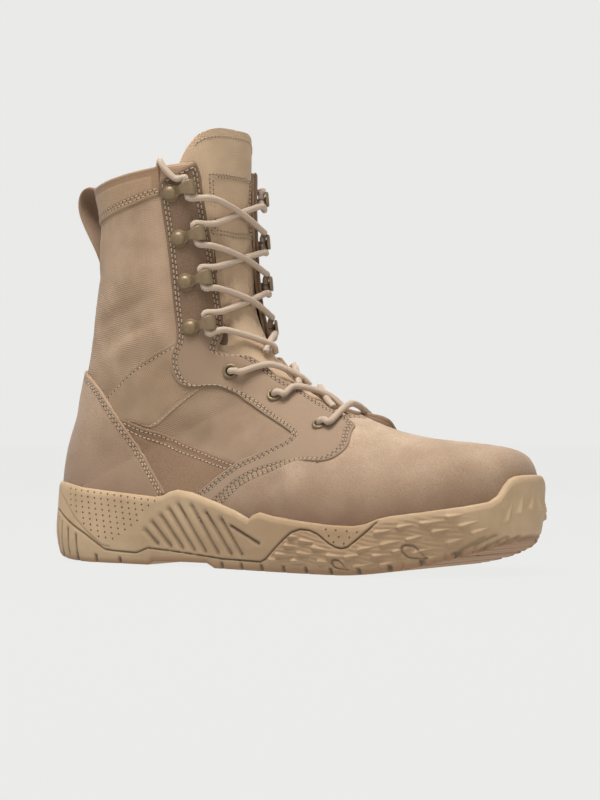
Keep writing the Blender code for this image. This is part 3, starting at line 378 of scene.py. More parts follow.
def outwards_at(u, g):
    """The direction square to the last: the cross product of steps along both of its measures."""
    step = 0.02
    along = surface(np.clip(u + step, 0.0, TIP - 0.01), g) - surface(np.clip(u - step, 0.0, TIP - 0.03), g)
    across = surface(u, g + step) - surface(u, g - step)
    n = np.cross(along, across)
    n /= np.maximum(np.linalg.norm(n, axis=-1, keepdims=True), 1e-9)
    return n


def from_side(points, side=-1.0):
    """Sections and girths of points x, z seen from the side.

    A point's section is the one whose line passes through it, and its place is its share along that line."""
    u = np.linspace(0.0, TIP - 0.001, 6000)
    v = section_at(u)
    back = np.stack([v[:, 0], np.where(u > CORNER, feather_height(v[:, 0]), v[:, 1])], axis=1)
    front = v[:, 2:4]
    run = back - front
    result = []
    for p in np.asarray(points, float):
        off = p - front
        aside = np.abs(run[:, 0] * off[:, 1] - run[:, 1] * off[:, 0]) / np.linalg.norm(run, axis=1)
        share = np.sum(off * run, axis=1) / np.sum(run * run, axis=1)
        k = int(np.argmin(aside + 40.0 * np.maximum(np.abs(share - 0.5) - 0.5, 0.0)))
        q = min(max(share[k], 0.0), 1.0)
        w = v[k, 6]
        girth = math.acos(1.0 - q / w) if q < w else math.pi / 2 + math.asin((q - w) / (1.0 - w))
        result.append((u[k], side * girth * 2 / math.pi))
    return np.array(result)


def from_front(table, side=-1.0, extra=0.0):
    """Sections and girths of points given by section and distance from the middle of the instep."""
    s = np.linspace(0.0, 1.0, 300) ** 1.3
    result = []
    for u, y in table:
        there = surface(u, s)[:, 1]
        result.append((u, side * np.interp(y + extra, there - there[0], s)))
    return np.array(result)


print("ankle is", round(float(last(5.0, 0.5, -1)[1]), 1), "mm from the middle")

# %% [markdown]
# ## From a grid of points to a piece
# Every soft piece is a grid on the last, lifted off it along the surface's own direction. Creases are soft
# troughs and ridges that move the last itself, so that canvas, suede and stitches follow them together.
# A piece with a thickness is two grids sewn together along their four edges.

# %% Creases
# from x, z to x, z seen from the side, half width, depth (a ridge is negative), side (0 is both)
CREASES = np.array([
    (44.0, 120.0, 84.0, 142.0, 9.0, 1.3, 0), (52.0, 112.0, 96.0, 132.0, 7.0, -0.8, 0),
    (36.0, 150.0, 70.0, 166.0, 10.0, 0.7, 0), (60.0, 178.0, 92.0, 172.0, 12.0, 0.6, 0),
    (40.0, 184.0, 66.0, 180.0, 9.0, -0.5, 0), (20.0, 96.0, 30.0, 60.0, 7.0, 0.7, 0),
    (46.0, 92.0, 64.0, 62.0, 8.0, -0.6, 0), (105.0, 90.0, 135.0, 78.0, 10.0, -1.3, 0),
    (112.0, 70.0, 140.0, 64.0, 8.0, 0.6, 0), (168.0, 62.0, 186.0, 40.0, 8.0, 0.9, 0),
    (188.0, 52.0, 202.0, 32.0, 9.0, -0.8, 0), (205.0, 54.0, 222.0, 36.0, 8.0, 0.6, 0),
    (226.0, 66.0, 240.0, 40.0, 11.0, 0.7, 0), (120.0, 116.0, 150.0, 98.0, 6.0, 0.5, 0),
    (110.0, 200.0, 114.0, 150.0, 5.0, 0.4, 0), (140.0, 70.0, 160.0, 50.0, 7.0, -0.4, 0),
    (38.0, 132.0, 92.0, 150.0, 3.2, 0.7, 0), (58.0, 122.0, 100.0, 140.0, 3.0, 0.5, 0),
    (34.0, 160.0, 58.0, 172.0, 4.0, 0.5, 0), (84.0, 108.0, 102.0, 122.0, 3.0, 0.5, 0)])


def crease(points):
    """How far the creases press the surface inwards, in millimetres: a bell shape round each line."""
    total = np.zeros(points.shape[:-1])
    flat = points[..., [0, 2]]
    for x0, z0, x1, z1, width, depth, side in CREASES:
        start, run = np.array([x0, z0]), np.array([x1 - x0, z1 - z0])
        t = np.clip(((flat - start) @ run) / (run @ run), 0.0, 1.0)
        away = np.linalg.norm(flat - start - t[..., None] * run, axis=-1)
        bell = 1.7 * depth * np.exp(-(away / width) ** 2) * np.sin(np.pi * np.clip(t, 0.08, 0.92))
        total += np.where((side == 0) | (np.sign(points[..., 1]) == side), bell, 0.0)
    edge = 1.0 - ramp(points[..., 2], 200.0, 214.0)
    return total * edge


def lifted(u, g, height):
    """The creased last moved outwards by a height in millimetres."""
    p = surface(u, g)
    return p + outwards_at(u, g) * (np.asarray(height) - crease(p))[..., None]


def lengths(grid, axis):
    """Distance run along one axis of a grid, in millimetres."""
    step = np.linalg.norm(np.diff(grid, axis=axis), axis=-1)
    start = np.zeros_like(np.take(step, [0], axis=axis))
    return np.cumsum(np.concatenate([start, step], axis=axis), axis=axis)


def to_row(points):
    """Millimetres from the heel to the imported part's metres."""
    return (points - np.array([MIDDLE_X, MIDDLE_Y, 0.0])) * MM


def quads(rows, columns, offset=0):
    """Corners of the faces of a grid of points."""
    k = np.arange((rows - 1) * columns).reshape(rows - 1, columns)[:, :-1].ravel() + offset
    return np.stack([k, k + columns, k + columns + 1, k + 1], axis=1)


def facing_out(points, faces):
    """Faces turned so that their closed shape holds a positive volume.

    Six times the volume is the sum of a . (b x c) over the triangles."""
    a, b, c, d = (points[faces[:, i]] for i in range(4))
    held = np.einsum("ij,ij->", a, np.cross(b, c)) + np.einsum("ij,ij->", a, np.cross(c, d))
    return faces if held > 0.0 else faces[:, ::-1]


def add_piece(name, points, faces, uv=None, values=None, looks=(), look_of_face=None, merge=True):
    """A mesh object from points in millimetres, quads, a place in the cloth and values for the materials."""
    mesh = bpy.data.meshes.new(name)
    points = to_row(np.asarray(points, float).reshape(-1, 3))
    faces = np.asarray(faces)
    mesh.vertices.add(len(points))
    mesh.vertices.foreach_set("co", points.astype(np.float32).ravel())
    mesh.loops.add(faces.size)
    mesh.loops.foreach_set("vertex_index", faces.astype(np.int32).ravel())
    mesh.polygons.add(len(faces))
    mesh.polygons.foreach_set("loop_start", np.arange(0, faces.size, faces.shape[1], dtype=np.int32))
    mesh.polygons.foreach_set("use_smooth", np.ones(len(faces), bool))
    if uv is not None:
        layer = mesh.uv_layers.new(name="cloth")
        layer.data.foreach_set("uv", np.asarray(uv).reshape(-1,
                                                            2)[faces.ravel()].astype(np.float32).ravel())
    for key, value in (values or {}).items():
        layer = mesh.attributes.new(key, 'FLOAT', 'POINT')
        layer.data.foreach_set("value", np.broadcast_to(value, len(points)).astype(np.float32).ravel())
    for look in looks:
        mesh.materials.append(look)
    if look_of_face is not None:
        mesh.polygons.foreach_set("material_index", np.asarray(look_of_face, np.int32))
    mesh.update(calc_edges=True)
    mesh.validate()
    work = bmesh.new()
    work.from_mesh(mesh)
    if merge:
        bmesh.ops.remove_doubles(work, verts=work.verts[:], dist=2e-6)
        bmesh.ops.dissolve_degenerate(work, edges=work.edges[:], dist=1e-7)
        # Where two halves meet, the walls between them go, so that they are one skin.
        shared = {edge for edge in work.edges if len(edge.link_faces) > 2}
        beside = {face for edge in shared for face in edge.link_faces}
        walls = [face for face in beside if sum(edge in shared for edge in face.edges) > 1]
        bmesh.ops.delete(work, geom=walls, context='FACES_ONLY')
    if work.calc_volume(signed=True) < 0:
        bmesh.ops.reverse_faces(work, faces=work.faces[:])
    work.to_mesh(mesh)
    work.free()
    item = bpy.data.objects.new(name, mesh)
    bpy.context.scene.collection.objects.link(item)
    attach(item, "root")
    SLOTS[looks[0].name.split(".")[0]]
    mesh.calc_loop_triangles()
    print(name, "triangles:", len(mesh.loop_triangles))
    return item


def sewn_faces(rows, columns):
    """Faces of two grids of the same size, one on the other, joined along their four edges."""
    n = rows * columns
    k = np.arange(n).reshape(rows, columns)
    edge = np.concatenate([k[0], k[1:, -1], k[-1, -2::-1], k[-2::-1, 0]])
    wall = np.stack([edge[:-1], edge[1:], edge[1:] + n, edge[:-1] + n], axis=1)
    return np.concatenate([quads(rows, columns), quads(rows, columns, n)[:, ::-1], wall])


# %% Ribbons between two edges
NEAR = np.array([0.0, 0.1, 0.3, 0.6, 1.0, 1.6, 2.2, 3.1, 4.0])
ROW_ONE, ROW_TWO = 6, 8
EDGE_ROUND = 1.0


def smooth_pair(first, second, step):
    """Two edges through the same number of points, as smooth curves with rows every few millimetres."""
    first, second = np.array(first, float), np.array(second, float)
    stops = np.arange(len(first), dtype=float)
    gap = np.maximum(np.linalg.norm(np.diff(surface(*first.T), axis=0), axis=1),
                     np.linalg.norm(np.diff(surface(*second.T), axis=0), axis=1))
    at = np.concatenate([i + np.arange(n) / n for i, n in enumerate(np.maximum(np.ceil(gap / step), 1))]
                        + [[stops[-1]]])
    return spline(stops, first)(at), spline(stops, second)(at)


def ribbon(first, second, columns):
    """Places on the last between two edges: each row runs straight from one edge to the other.

    The columns stand at fixed distances near both edges and evenly between them. It gives the places, and
    the distance in millimetres from each edge."""
    t = np.linspace(0.0, 1.0, 161)
    rows = first[:, None] + t[None, :, None] * (second - first)[:, None]
    run = lengths(surface(rows[..., 0], rows[..., 1]), 1)
    total = run[:, -1:]
    near = NEAR[None] * np.minimum(1.0, total / (2.0 * NEAR[-1] + 1.0))
    share = np.linspace(0.0, 1.0, columns + 2)[1:-1]
    inside = near[:, -1:] + share * (total - 2.0 * near[:, -1:])
    stops = np.concatenate([near, inside, total - near[:, ::-1]], axis=1)
    place = np.stack([np.interp(want, have, t) for want, have in zip(stops, run)])
    at = first[:, None] + place[..., None] * (second - first)[:, None]
    return at, stops, total - stops


def rounded(distance, radius=EDGE_ROUND):
    """0 at an edge and 1 a little inside it, along a quarter of a circle."""
    return np.sqrt(np.maximum(1.0 - (1.0 - np.clip(distance / radius, 0.0, 1.0)) ** 2, 0.0))


def sunk(distance, rows, depth=0.28, width=0.5):
    """How far the thread pulls the surface in along its rows."""
    return depth * sum(np.exp(-((distance - row) / width) ** 2) for row in rows)


def panel(name, node, pairs, looks, base=0.2, thickness=1.2, columns=20, step=1.6, rows=(),
          free=(1, 1, 0, 0), sides=(-1, 1), under=-0.3, radius=EDGE_ROUND, extra=None, both=False):
    """A sewn piece on the last for each side, or one piece for both, with rounded edges.

    pairs are the two edges for the outer side; free tells which of the four edges are rounded down."""
    points, faces, cloth, edges, of_face, start = [], [], [], [], [], 0
    grids = []
    for side in sides:
        first, second = smooth_pair(pairs[0], pairs[1], step)
        at, from_first, from_second = ribbon(first, second, columns)
        if not both:
            at[..., 1] *= -side
        shape = lifted(at[..., 0], at[..., 1], np.zeros(at.shape[:2]))
        down, across = lengths(shape, 0), lengths(shape, 1)
        far = 1e3
        to_edges = (from_first, from_second, down, down[-1:] - down)
        distance = np.minimum.reduce([to_edge if is_free else far + 0 * down
                                      for to_edge, is_free in zip(to_edges, free)])
        height = base + thickness * rounded(distance, radius) - sunk(distance, rows)
        if extra is not None:
            height = height + extra(shape)
        outer = lifted(at[..., 0], at[..., 1], height)
        inner = lifted(at[..., 0], at[..., 1], np.full(at.shape[:2], under))
        n, m = at.shape[:2]
        points += [outer.reshape(-1, 3), inner.reshape(-1, 3)]
        faces.append(facing_out(np.concatenate(points[-2:]), sewn_faces(n, m)) + start)
        of = np.zeros(len(faces[-1]), int)
        if len(looks) > 1:
            of[(n - 1) * (m - 1):2 * (n - 1) * (m - 1)] = 1
        of_face.append(of)
        cloth += [np.stack([across, down], -1).reshape(-1, 2)] * 2
        edges += [np.minimum(distance, 20.0).ravel(), np.full(n * m, 20.0)]
        start += 2 * n * m
        grids.append((at, height, distance))
    item = add_piece(name, np.concatenate(points), np.concatenate(faces), np.concatenate(cloth) * 0.1,
                     {"edge": np.concatenate(edges)}, looks, np.concatenate(of_face))
    if node:
        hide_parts(node)
    return grids

# %% [markdown]
# ## Materials
# Canvas, suede, rubber, painted metal and cord each have their own grain, gloss and depth. The grain is
# bump, and the mottling follows the nap, the wear and the dust of the real boot. Some colours hold painted
# light: painted shade in the sole's grooves, in the hole marks, on the facings' upper part and down the
# vamp's sides, and a painted highlight on the vamp's top.

# %% Materials
# Material, and the record's slot that it stands for
SLOTS = {
    "shaft_canvas": "canvas", "side_canvas": "canvas", "tongue_canvas": "canvas", "cuff_suede": "suede",
    "counter_suede": "suede", "facing_suede": "suede", "side_suede": "suede", "vamp_suede": "suede",
    "loop_suede": "suede", "sole_rubber": "rubber", "pinhole": "rubber", "lace_cord": "lace_cord",
    "thread": "lace_cord", "needle_hole": "suede", "olive_metal": "painted_metal",
    "eyelet_metal": "painted_metal", "footbed": "foam"}


def linear(red, green, blue):
    """A colour of the screen, 0 to 255, as light."""
    c = np.array([red, green, blue]) / 255.0
    return tuple(np.where(c <= 0.04045, c / 12.92, ((c + 0.055) / 1.055) ** 2.4)) + (1.0,)


def suede(name, light, dark, grain=1.0, low=None, low_from=0.0, low_to=1.0):
    """Napped leather: fine grain, and patches where the nap lies the other way."""
    paint = Paint(name, roughness=0.92, sheen=0.12, sheen_roughness=0.6, specular=0.2)
    at = paint.place()
    nap = paint.noise(at, 42.0, 3.0, 0.5).between(0.3, 0.7)
    fine = paint.noise(at, 1300.0, 2.0, 0.7)
    colour = paint.mix(nap * 0.26 + fine.between(0.36, 0.64) * 0.56 + 0.1, dark, light)
    # Towards the bottom the colour turns to the low colour: on the vamp a darkening, partly painted shade; on
    # the facings a lighter tone below their painted shade.
    if low is not None:
        x, y, z = paint.split(at)
        colour = paint.mix((z + (nap - 0.5) * 0.012).between(low_to, low_from), colour, low)
    edge = paint.attribute("edge")
    sewn = edge.between(0.9, 1.7) - edge.between(4.3, 5.2)
    colour = paint.mix(sewn * 0.38, colour, tuple(c * t for c, t in zip(dark[:3], (0.66, 0.56, 0.50)))
                       + (1.0,))
    height = fine * 0.7 + paint.noise(at, 320.0, 2.0, 0.5) * 0.3
    return paint.finish(colour, height, strength=0.5 * grain, distance=0.0006)


def canvas(name, light, dark, pitch=9.0, strength=0.38, low=0.0):
    """Woven cloth: threads along and across, the ones across the boot standing out as ribs."""
    paint = Paint(name, roughness=0.9, sheen=0.08, specular=0.2)
    u, v, w = paint.split(paint.uv())
    across = (v * pitch * 2 * math.pi).sine()
    along = (u * pitch * 1.5 * math.pi).sine()
    weave = across * 0.38 + along * 0.12 + 0.5
    at = paint.place()
    soft = paint.noise(at, 60.0, 3.0, 0.5)
    slub = paint.noise(paint.stretch(paint.uv(), (0.6, 22.0, 1.0)), 3.0, 2.0)
    colour = paint.mix(soft.between(0.3, 0.7) * 0.45 + weave * 0.38 + slub * 0.17, dark, light)
    x, y, z = paint.split(at)
    colour = paint.mix(z.between(0.112, 0.098) * low, colour, tuple(0.62 * c for c in dark[:3]) + (1.0,))
    return paint.finish(colour, weave, strength=strength, distance=0.0004)


def rubber(name, light, dark, fore, tread):
    """Moulded rubber: satin, dusty on the proud parts, with painted shade in the grooves, redder along the
    tread's edge.
    """
    paint = Paint(name, roughness=0.62, specular=0.35)
    at = paint.place()
    dust = paint.noise(at, 45.0, 4.0, 0.6).between(0.3, 0.7)
    grain = paint.noise(at, 700.0, 2.0, 0.6)
    x, y, z = paint.split(at)
    colour = paint.mix(dust * 0.7 + grain * 0.3, dark, light)
    front = (x.between(-0.09, 0.04) - x.between(0.132, 0.150)) * (z * -1.0).between(-0.036, -0.024)
    colour = paint.mix(front * 0.55, colour, fore)
    worn = paint.attribute("tread")
    colour = paint.mix(worn * 0.75, colour, tread)
    # Painted shade: the groove attribute darkens the colour where the relief is pressed in.
    colour = paint.mix(paint.attribute("groove"), colour, tuple(0.36 * c for c in dark[:3]) + (1.0,))
    return paint.finish(colour, grain, dust * 0.12 + 0.55, strength=0.12, distance=0.0005)


def plain(name, colour, roughness, metallic=0.0, grain=0.0, scale=400.0, specular=0.4):
    """One even colour, with a fine grain as bump where grain is above 0."""
    paint = Paint(name, roughness=roughness, metallic=metallic, specular=specular)
    at = paint.place()
    speck = paint.noise(at, scale, 3.0, 0.6)
    shade = tuple(0.78 * c for c in colour[:3]) + (1.0,)
    return paint.finish(paint.mix(speck.between(0.25, 0.75), shade, colour), speck, strength=grain,
                        distance=0.0005)


def braid(name, light, dark):
    """A round lace: slanting threads that cross, over a soft core."""
    paint = Paint(name, roughness=0.85, sheen=0.1, specular=0.25)
    u, v, w = paint.split(paint.uv())
    one = ((u * 6.0 + v * 6.0) * 2 * math.pi).sine()
    two = ((u * 6.0 - v * 6.0) * 2 * math.pi).sine()
    weave = one * two * 0.5 + 0.5
    return paint.finish(paint.mix(weave * 0.6 + 0.3, dark, light), weave, strength=0.25, distance=0.0003)


SHAFT = canvas("shaft_canvas", linear(190, 162, 135), linear(142, 116, 92), low=0.36)
PATCH = canvas("side_canvas", linear(178, 151, 123), linear(138, 112, 88))
TONGUE_CLOTH = canvas("tongue_canvas", linear(206, 178, 147), linear(176, 149, 120))
LINING = plain("lining", linear(112, 92, 74), 0.95, grain=0.2)
CUFF = suede("cuff_suede", linear(178, 148, 118), linear(148, 119, 91), 0.7)
COUNTER_SUEDE = suede("counter_suede", linear(186, 158, 132), linear(150, 123, 98),
                      low=linear(146, 118, 95),
                      low_from=0.040, low_to=0.086)
# The facings' colours are darkened with painted shade, the shade on the eyestay round the hooks; below the
# low height they turn lighter.
FACING_SUEDE = suede("facing_suede", linear(138, 112, 89), linear(102, 80, 62), low=linear(154, 129, 106),
                     low_from=0.118, low_to=0.142)
SIDE_SUEDE = suede("side_suede", linear(148, 118, 91), linear(120, 93, 70))
# The vamp's light colour is a painted highlight of its lit top, and its low colour darkens it towards the
# sole, partly as painted shade of its sides and partly as the redder worn nap.
VAMP_SUEDE = suede("vamp_suede", linear(218, 193, 165), linear(166, 139, 112), low=linear(128, 100, 78),
                   low_from=0.026, low_to=0.092)
SUEDE_BACK = plain("suede_underside", linear(98, 72, 55), 0.95, grain=0.3)
SOLE_RUBBER = rubber("sole_rubber", linear(202, 174, 140), linear(180, 151, 118), linear(146, 115, 84),
                     linear(150, 112, 80))
LACE_CORD = braid("lace_cord", linear(205, 184, 163), linear(160, 138, 118))
METAL = plain("olive_metal", linear(142, 121, 92), 0.42, 0.35, grain=0.05)
EYELET_METAL = plain("eyelet_metal", linear(142, 122, 92), 0.42, 0.35, grain=0.05)
THREAD = plain("thread", linear(190, 168, 142), 0.8)
# The needle-hole colour is painted shade: dark marks where holes would be.
NEEDLE = plain("needle_hole", linear(70, 52, 40), 0.95)
# The pinhole colour is painted shade: dark marks where the sole's small holes are.
PINHOLE = plain("pinhole", linear(112, 88, 62), 0.9)
LOOP_SUEDE = suede("loop_suede", linear(164, 135, 108), linear(122, 96, 75), 0.8)
FOOTBED = plain("footbed", linear(120, 104, 86), 0.9, grain=0.2)
print("materials:", len(bpy.data.materials))

# %% [markdown]
# ## Canvas upper
# The upper is one wall from the throat's edge round to the back of the leg and down to the sole. Its two
# halves meet at the back and over the toe, where they become one.

# %% Upper
# section, half the width of the throat there
THROAT = [(0.0, 33.0), (1.05, 28.5), (1.4, 26.2), (2.06, 24.6), (3.07, 21.5), (4.06, 20.0), (4.8, 20.4),
          (5.2, 22.2),
          (5.44, 24.8), (5.66, 24.8), (5.82, 19.5), (5.95, 14.0), (6.4, 11.0), (7.4, 9.5), (9.2, 8.7),
          (11.4, 8.3),
          (12.6, 8.0), (13.1, 6.5), (13.4, 3.5)]
throat_u, throat_y = np.array(THROAT).T
COARSE = 1.7
levels = np.concatenate([np.arange(1.0, 13.0, 0.5), [13.2, 13.6, 14.0], np.arange(14.5, 20.0, 0.5),
                         [19.97]])
open_half = np.interp(levels, throat_u, throat_y)
open_half[levels > 13.5] = 0.0
upper_front = from_front(np.stack([levels, open_half], 1))
upper_back = np.stack([levels, np.full(len(levels), -2.0)], 1)
panel("canvas_upper", "upper", (upper_front, upper_back), (SHAFT, LINING), base=-0.4, thickness=0.4,
      columns=52,
      step=COARSE * 1.4, free=(1, 0, 1, 0), under=-WALL)

# %% [markdown]
# ## Suede panels
# Each panel is a ribbon between two edges that are read off the boot from the side. Its edges are rounded
# down, and two rows of thread pull it in just inside them.

# %% Facings, vamp, counter, side panels and collar
def refined(points, times=3):
    """More points on the same smooth line."""
    points = np.asarray(points, float)
    stops = np.linspace(0.0, len(points) - 1.0, times * (len(points) - 1) + 1)
    return spline(np.arange(float(len(points))), points)(stops)


FACING_FRONT_TOP = [(1.0, 28.5), (1.4, 26.2), (2.06, 24.6), (3.07, 21.5), (4.06, 20.0), (4.8, 20.4),
                    (5.2, 22.2),
                    (5.46, 24.6), (5.66, 24.2), (5.84, 19.0), (5.99, 14.2), (6.5, 10.9), (7.4, 9.5),
                    (9.2, 8.7),
                    (11.4, 8.3)]
facing_front = np.concatenate([
    from_front(FACING_FRONT_TOP, extra=-0.8),
    from_side([(208.6, 79.0), (215.4, 73.4), (219.2, 66.4), (217.0, 60.8), (212.0, 58.2), (204.0, 57.8),
               (192.5, 57.8), (171.7, 52.0), (156.2, 44.6), (145.0, 36.0), (130.0, 24.0)])])
facing_rear = [
    (98.7, 213.6), (99.2, 208.0), (100.2, 198.0), (102.5, 181.5), (104.5, 162.0), (105.8, 146.0),
    (106.9, 134.0),
    (106.6, 125.0), (103.9, 118.4), (103.0, 113.4), (103.8, 108.6), (107.8, 101.8), (116.0, 100.0),
    (130.0, 100.2),
    (150.0, 89.0), (168.0, 80.0), (178.0, 75.4), (181.6, 73.4), (181.8, 72.4), (181.0, 70.6), (178.6, 68.6),
    (172.0, 65.6), (164.0, 62.4), (150.0, 55.8), (136.0, 46.6), (125.0, 38.4), (111.0, 27.0)]
facing_rear = from_side(refined(facing_rear[:len(facing_front)]))
facing_front = refined(facing_front)
print("facing stops:", len(facing_front), len(facing_rear))
ROWS = (NEAR[ROW_ONE], NEAR[ROW_TWO])


def over_vamp(shape):
    """The front lobe of the facing lies on the vamp, one layer higher."""
    over = 1.3 * ramp(shape[..., 0], 190.0, 202.0) * ramp(shape[..., 2], 52.0, 56.0)
    lifted_tip = 4.0 * ramp(shape[..., 1], 0.0, 2.0) * ramp(shape[..., 0], 196.0, 214.0)
    return over + lifted_tip * (1.0 - ramp(np.abs(shape[..., 1]), 14.0, 26.0))


facing = panel("facings", None, (facing_front, facing_rear),
               (FACING_SUEDE, SUEDE_BACK), base=0.7, thickness=0.85, columns=16, step=COARSE, rows=ROWS,
               free=(1, 1, 1, 0),
               extra=over_vamp, under=-0.2)
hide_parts("facing_lateral", "facing_medial")

vamp_edge = from_side([(114.0, 14.0), (130.0, 26.0), (145.0, 38.0), (156.2, 46.6), (171.7, 54.0),
                       (181.5, 57.0),
                       (192.5, 59.8), (203.0, 59.6)])
vamp_edge = np.concatenate([vamp_edge, from_front([(13.3, 20.0), (13.2, 12.0), (13.25, 5.0), (13.4, 0.0)])])
other = vamp_edge[::-1][1:].copy()
other[:, 1] *= -1
vamp_rear = np.concatenate([vamp_edge, other])
vamp_tip = np.stack([np.full(len(vamp_rear), 19.96), vamp_rear[:, 1]], 1)
vamp = panel("vamp_suede", "vamp", (vamp_rear, vamp_tip), (VAMP_SUEDE, SUEDE_BACK), base=0.9,
             thickness=0.9, columns=64,
             step=COARSE, rows=ROWS, free=(1, 0, 0, 0), sides=(1,), both=True, under=-0.1)

counter_edge = from_side(refined([(16.0, 112.2), (20.0, 112.0), (26.0, 111.0), (33.0, 109.2),
                                  (40.6, 106.4), (48.2, 102.6),
                          (57.4, 94.8), (66.6, 83.6), (75.4, 72.8), (85.0, 61.4), (94.8, 50.6),
                                  (104.6, 40.4)]))
counter_edge[0] = (4.93, -1.98)
counter_levels = [4.93, 5.6, 6.3, 7.0, 7.6, 8.2, 8.7, 9.0, 9.6, 10.6, 11.6, 12.4]
counter_levels = refined(counter_levels)
counter_back = np.stack([counter_levels, np.full(len(counter_levels), -2.0)], 1)
counter = panel("heel_counter_suede", "heel_counter", (counter_edge, counter_back),
                (COUNTER_SUEDE, SUEDE_BACK),
                base=1.0, thickness=0.75, columns=40, step=COARSE, rows=ROWS, free=(1, 0, 0, 0))

side_top = from_side([(64.0, 83.6), (75.0, 80.1), (89.0, 75.6), (102.0, 71.4), (115.6, 67.2),
                      (135.0, 61.6), (152.0, 57.0)])
side_low = from_side([(75.0, 69.0), (82.0, 59.0), (90.0, 48.0), (98.0, 38.0), (106.0, 30.0),
                      (116.0, 27.0), (130.0, 30.0)])
side_panel = panel("side_suede", None, (side_top, side_low), (SIDE_SUEDE, SUEDE_BACK), thickness=0.75,
                   base=0.35,
                   columns=18, step=COARSE, rows=(NEAR[ROW_ONE], 5.2), free=(1, 0, 0, 0))
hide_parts("side_panel_lateral", "side_panel_medial")

patch_top = from_side([(52.0, 90.0), (59.8, 96.8), (70.0, 104.4), (79.8, 111.2), (88.0, 115.6),
                       (94.9, 119.3),
                       (107.6, 125.2)])
patch_low = from_side([(60.0, 80.0), (72.0, 80.0), (80.0, 79.4), (89.0, 77.0), (98.0, 82.0), (108.5, 90.0),
                       (122.0, 100.0)])
side_patch = panel("side_canvas", None, (patch_top, patch_low), (PATCH,), thickness=0.4, base=0.0,
                   columns=18,
                   step=COARSE * 1.3, rows=(NEAR[ROW_ONE],), free=(1, 1, 0, 0), radius=0.5)

cuff_top = np.concatenate([from_side([(99.6, 218.6), (92.0, 218.0), (80.0, 217.0), (66.0, 215.8),
                                      (52.0, 214.4),
                                      (42.0, 213.6)]), [(1.0, -1.88), (1.0, -2.0)]])
cuff_top[:, 0] = 1.0
cuff_low = np.concatenate([from_side([(99.0, 206.4), (90.1, 204.2), (80.8, 201.4), (67.3, 198.4),
                                      (53.0, 195.4),
                                      (44.0, 194.2)]), [(1.98, -1.88), (1.98, -2.0)]])
cuff = panel("collar_band_suede", "collar_band", (cuff_top, cuff_low), (CUFF, LINING), base=0.4,
             thickness=0.7, columns=10,
             step=COARSE, rows=ROWS, free=(1, 1, 1, 0))

# %% [markdown]
# ## Tongue
# The tongue is one layer further in. It runs up past the collar to a rounded top, with the seam of its
# binding along the top and the seam of a plain patch stitched on it.

# %% Tongue
TONGUE = [(0.02, 12.0), (0.05, 18.0), (0.12, 23.0), (0.25, 27.0), (0.56, 31.0), (1.06, 34.0), (2.07, 34.0),
          (4.06, 31.0), (5.2, 29.0), (6.06, 27.0), (7.1, 25.5), (8.06, 24.0), (9.6, 21.5), (11.1, 19.0),
          (12.4, 17.0),
          (13.2, 15.0), (13.9, 11.0)]
tongue_left = from_front(TONGUE)
tongue_right = tongue_left * (1.0, -1.0)


# Folds that run up between the facings: distance from the middle, lean, lowest and highest z,
# depth, half width
TONGUE_FOLDS = [(19.0, -0.03, 126.0, 196.0, 2.6, 2.4), (9.0, 0.05, 130.0, 184.0, 1.8, 2.0),
                (22.0, 0.0, 118.0, 142.0, 4.0, 4.0)]


def tongue_form(shape):
    """Soft waves across the tongue below its top, and soft rolls where the tongue folds between the facings.
    """
    y, z = shape[..., 1], shape[..., 2]
    form = 0.5 * np.sin(z / 9.0 + y / 14.0) * ramp(np.abs(y), 4.0, 16.0) * (1.0 - ramp(z, 205.0, 225.0))
    for middle, lean, low, high, deep, wide in TONGUE_FOLDS:
        away = (np.abs(y) - middle - lean * (z - low)) / wide
        form = form - deep * np.exp(-away ** 2) * ramp(z, low, low + 10.0) * (1.0 - ramp(z, high - 12.0,
                                                                                         high))
    return form


panel("tongue_cloth", "tongue", (tongue_left, tongue_right), (TONGUE_CLOTH, LINING),
      base=-WALL - GAP - 0.5, thickness=0.5, columns=30, step=COARSE, free=(1, 1, 1, 1), sides=(1,),
      both=True,
      under=-WALL - GAP - TONGUE_THICKNESS, extra=tongue_form)

# %% [markdown]
# ## Sole
# One wall of rubber follows the sole's outline from the tread to the lip that hugs the upper. Its relief is
# pressed into it: the parting of tread and upper half, slanting ribs, claws and loops.

# %% Outline and relief of the sole
SOLE_TOP = np.array([
    (0.0, 46.6), (24.0, 45.0), (38.2, 42.9), (68.6, 40.5), (98.0, 38.4), (104.0, 39.4), (108.9, 41.6),
    (114.0, 42.6), (124.0, 41.4),
    (145.0, 36.0), (158.0, 32.0), (168.0, 27.9), (170.6, 30.2), (175.4, 31.6), (184.3, 29.8), (202.0, 27.8),
    (222.0, 26.0), (236.0, 25.8),
    (243.0, 27.0), (249.3, 29.6), (256.0, 31.2), (271.3, 33.4), (288.6, 36.2), (298.4, 38.6), (301.6, 41.4),
    (303.6, 46.0), (305.6, 49.8), (307.8, 51.6), (310.0, 52.0)])
ARCH_RISE = np.array([(0.0, 0.0), (88.0, 0.0), (92.0, 2.4), (132.0, 2.6), (138.0, 0.0), (310.0, 0.0)])
PARTING = np.array([
    (-20.0, 44.0), (10.0, 31.0), (19.4, 28.0), (26.7, 24.5), (43.1, 16.6), (57.7, 8.0), (64.4, 7.2),
    (81.5, 6.6), (90.2, 9.6), (106.4, 8.6), (145.9, 5.6), (174.8, 5.2), (179.0, 7.0), (192.9, 18.0),
    (198.1, 21.6), (204.1, 23.4), (210.0, 23.0), (215.0, 21.2), (222.4, 16.3), (226.3, 14.6), (230.0, 14.1),
    (233.6, 15.0), (239.3, 19.4), (245.5, 24.4), (256.0, 34.0)])
# top_x, top_z, bottom_x, bottom_z
RIB_GROOVES = [
    (89.7, 19.5, 97.4, 12.4), (95.4, 24.0, 106.8, 11.4), (102.2, 27.9, 115.6, 10.6),
    (108.3, 31.7, 124.2, 9.8),
    (115.6, 34.1, 132.8, 9.4), (125.6, 33.9, 142.6, 9.0), (136.4, 30.5, 152.6, 8.8),
    (147.7, 27.2, 160.8, 9.0)]
